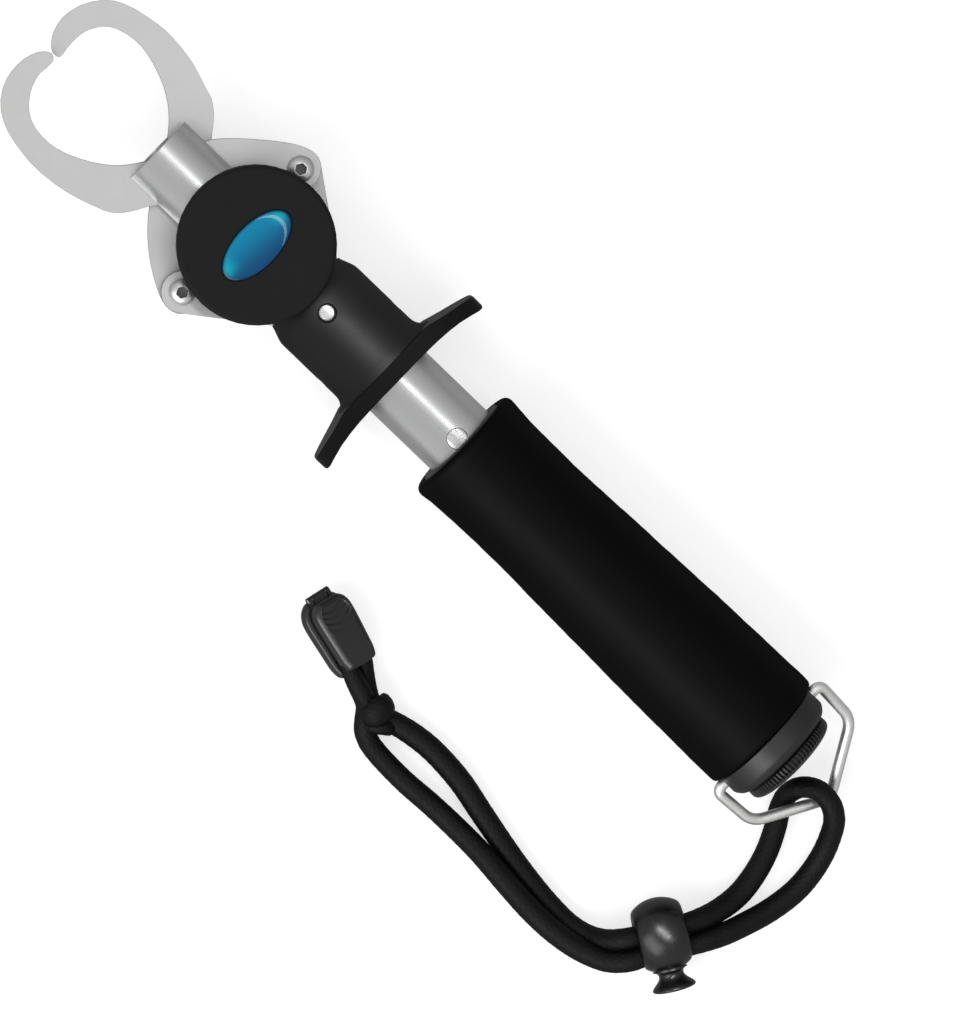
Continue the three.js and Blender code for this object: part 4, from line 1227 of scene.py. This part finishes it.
def clip_base():
    """A deeper dish that stands out past the lid, with the middle knuckle."""
    verts, faces = shell(BASE_WALL, base_height)
    mirrored = outward(verts * np.array([1, 1, -1.0]), faces)
    o = piece("clip_base_shell", mirrored, "clip", "lanyard", "clip_base",
              sharp=50, local=CLIP)
    cut_mouth(o)
    for y in ((2.0, 3.35), (-3.35, -2.0)):
        cut(o, box(x=(-12, -8.4), y=y, z=(-1.4, 0.2)), CLIP)
    cut(o, knuckle((-1.9, 1.9), web=1.8), CLIP, "UNION")
    # Web between the shells, set well back so that the seam reads as a deep dark gap
    cut(o, prism(inset(clip_outline(), 2.3), -0.6, 0.25), CLIP, "UNION")
    cut_mouth(o)
    cut_hinge_hole(o)


clip_lid()
clip_base()

# =====================================================================
# Badge: smooth oval dome
# =====================================================================
BADGE_HALF_X, BADGE_HALF_Y = 5.24, 10.48
BADGE_FOOT = [(12.76, 1.0), (13.5, 1.0), (13.62, 0.998), (13.74, 0.985)]  # z, share of outline
BADGE_RISE = 0.76  # from the foot's last row to the top


def badge():
    sides, steps = 128, 26
    foot_z, foot_share = BADGE_FOOT[-1]
    rows = list(BADGE_FOOT)
    for i in range(1, steps):
        angle = i / steps * pi / 2
        rows.append((foot_z + BADGE_RISE * sin(angle), foot_share * cos(angle)))
    angles = [2 * pi * i / sides for i in range(sides)]
    rings = [[(BADGE_HALF_X * k * cos(w), BADGE_HALF_Y * k * sin(w), z) for w in angles]
             for z, k in rows]
    verts, faces = loft(rings)
    # A fan to one top point takes the place of the upper end face.
    top = len(verts)
    last = top - sides
    verts = np.vstack([verts, (0, 0, foot_z + BADGE_RISE)])
    fan = [(last + i, last + (i + 1) % sides, top) for i in range(sides)]
    faces = faces[:-2] + fan + [faces[-2]]
    piece("cover_badge_dome", (verts, faces), "badge", "trigger", "cover_badge",
          sharp=50)


badge()

# =====================================================================
# Stage, light and camera, in metres
# =====================================================================
FLOOR_HALF = 3.0
AIM = (0.06, 0.0, 0.014)  # where the lights point


def floor():
    mesh = bpy.data.meshes.new("floor")
    s = FLOOR_HALF
    mesh.from_pydata([(-s, -s, 0), (s, -s, 0), (s, s, 0), (-s, s, 0)], [], [(0, 1, 2, 3)])
    o = add_object("floor", mesh)
    o.location = (0.08, 0, CAD_BOX[0].z - 0.0003)
    m = NodeMaterial("pale_floor")
    mottle = m.noise(per_mm=0.02, detail=2)
    # Dimmer in reflections, as a studio sweep is
    reflected = m.node("ShaderNodeLightPath").outputs["Is Glossy Ray"]
    pale = m.mix(mottle, (0.56, 0.56, 0.56), (0.58, 0.58, 0.58))
    m.set(Base_Color=m.mix(reflected, pale, (0.14, 0.14, 0.14)), Roughness=0.9,
          Specular_IOR_Level=0.05, Emission_Color=(1, 1, 1, 1),
          Emission_Strength=m.ramp(reflected, over=(0.0, 1.0), to=(0.64, 0.24), kind="LINEAR"))
    mesh.materials.append(m.material)


def studio_world():
    """White surroundings, brighter towards -Y, that even out overhead."""
    world = bpy.data.worlds.new("studio")
    bpy.context.scene.world = world
    world.use_nodes = True
    tree = world.node_tree
    tree.nodes.clear()

    def node(kind):
        return tree.nodes.new("ShaderNode" + kind)

    def ramp(source, over, to):
        out = node("MapRange")
        tree.links.new(source, out.inputs[0])
        for i, value in enumerate((*over, *to), start=1):
            out.inputs[i].default_value = value
        return out.outputs[0]

    output = node("OutputWorld")
    background = node("Background")
    direction = node("SeparateXYZ")
    tree.links.new(node("TexCoord").outputs["Generated"], direction.inputs[0])
    side = ramp(direction.outputs[1], over=(-1.0, 1.0), to=(0.72, 0.27))
    up = ramp(direction.outputs[2], over=(0.0, 0.9), to=(0.0, 1.0))
    blend = node("Mix")
    tree.links.new(up, blend.inputs[0])
    tree.links.new(side, blend.inputs[2])
    blend.inputs[3].default_value = 0.60  # strength overhead
    tree.links.new(blend.outputs[0], background.inputs["Strength"])
    background.inputs["Color"].default_value = (1, 1, 1, 1)
    tree.links.new(background.outputs[0], output.inputs[0])


def stand(o, x, y, z, at):
    """Puts an object at a place with the given axes."""
    matrix = Matrix((x, y, z)).transposed().to_4x4()
    matrix.translation = at
    o.matrix_world = matrix


def area_light(name, at, size, power):
    light = bpy.data.lights.new(name, "AREA")
    light.shape = "RECTANGLE"
    light.size, light.size_y = size
    light.energy = power
    o = add_object(name, light)
    z = (Vector(at) - Vector(AIM)).normalized()
    x = Vector((1, 0, 0)) - z * z.x
    x.normalize()
    stand(o, x, z.cross(x), z, Vector(at))
    return o


def flag(light, names, state):
    """Keeps a light off the named objects, or on them alone, as flags on a studio light do."""
    flagged = bpy.data.collections.new(light.name + "_flagged")
    for name in names:
        flagged.objects.link(bpy.data.objects[name])
    for item in flagged.collection_objects:
        item.light_linking.link_state = state
    light.light_linking.receiver_collection = flagged


def lights():
    area_light("strip", at=(0.06, 0.20, 1.0), size=(1.5, 0.06), power=1.9)
    softbox = area_light("softbox", at=(0.10, -0.85, 0.95), size=(1.4, 0.75), power=9.0)
    kicker = area_light("kicker", at=(0.10, -0.80, 0.90), size=(1.3, 0.42), power=9.0)
    spread = area_light("spread", at=(0.03, 0.13, 1.0), size=(0.9, 0.22), power=8.0)
    flag(softbox, ["barrel_tube_turned", "trigger_sleeve_turned", "finger_flange"], "EXCLUDE")
    flag(kicker, ["foam_grip_sleeve", "end_collar_ring", "zero_knob_ribbed", "clip_lid_shell",
                  "clip_base_shell"], "INCLUDE")
    flag(spread, ["trigger_sleeve_turned", "lock_body_ball", "lock_button_flared"], "INCLUDE")


def camera():
    data = bpy.data.cameras.new("camera")
    o = add_object("camera", data)
    data.sensor_width = 36
    data.lens = 266.676
    data.clip_start = 0.05
    data.clip_end = 20
    aim = Vector((82.472, -8.789, AXIS_HEIGHT)) * MM
    at = Vector((-90.0, -2.0, 1800.0)) * MM
    up = Vector((-0.696785, 0.71728, 0))
    roll = radians(-0.119)
    z = (at - aim).normalized()
    y = (up - z * up.dot(z)).normalized()
    x = y.cross(z)
    x, y = x * cos(roll) + y * sin(roll), y * cos(roll) - x * sin(roll)
    stand(o, x, y, z, at)
    bpy.context.scene.camera = o


floor()
studio_world()
lights()
camera()

view = bpy.context.scene.view_settings
view.view_transform = "Standard"
view.look = "None"
view.exposure = 0.0
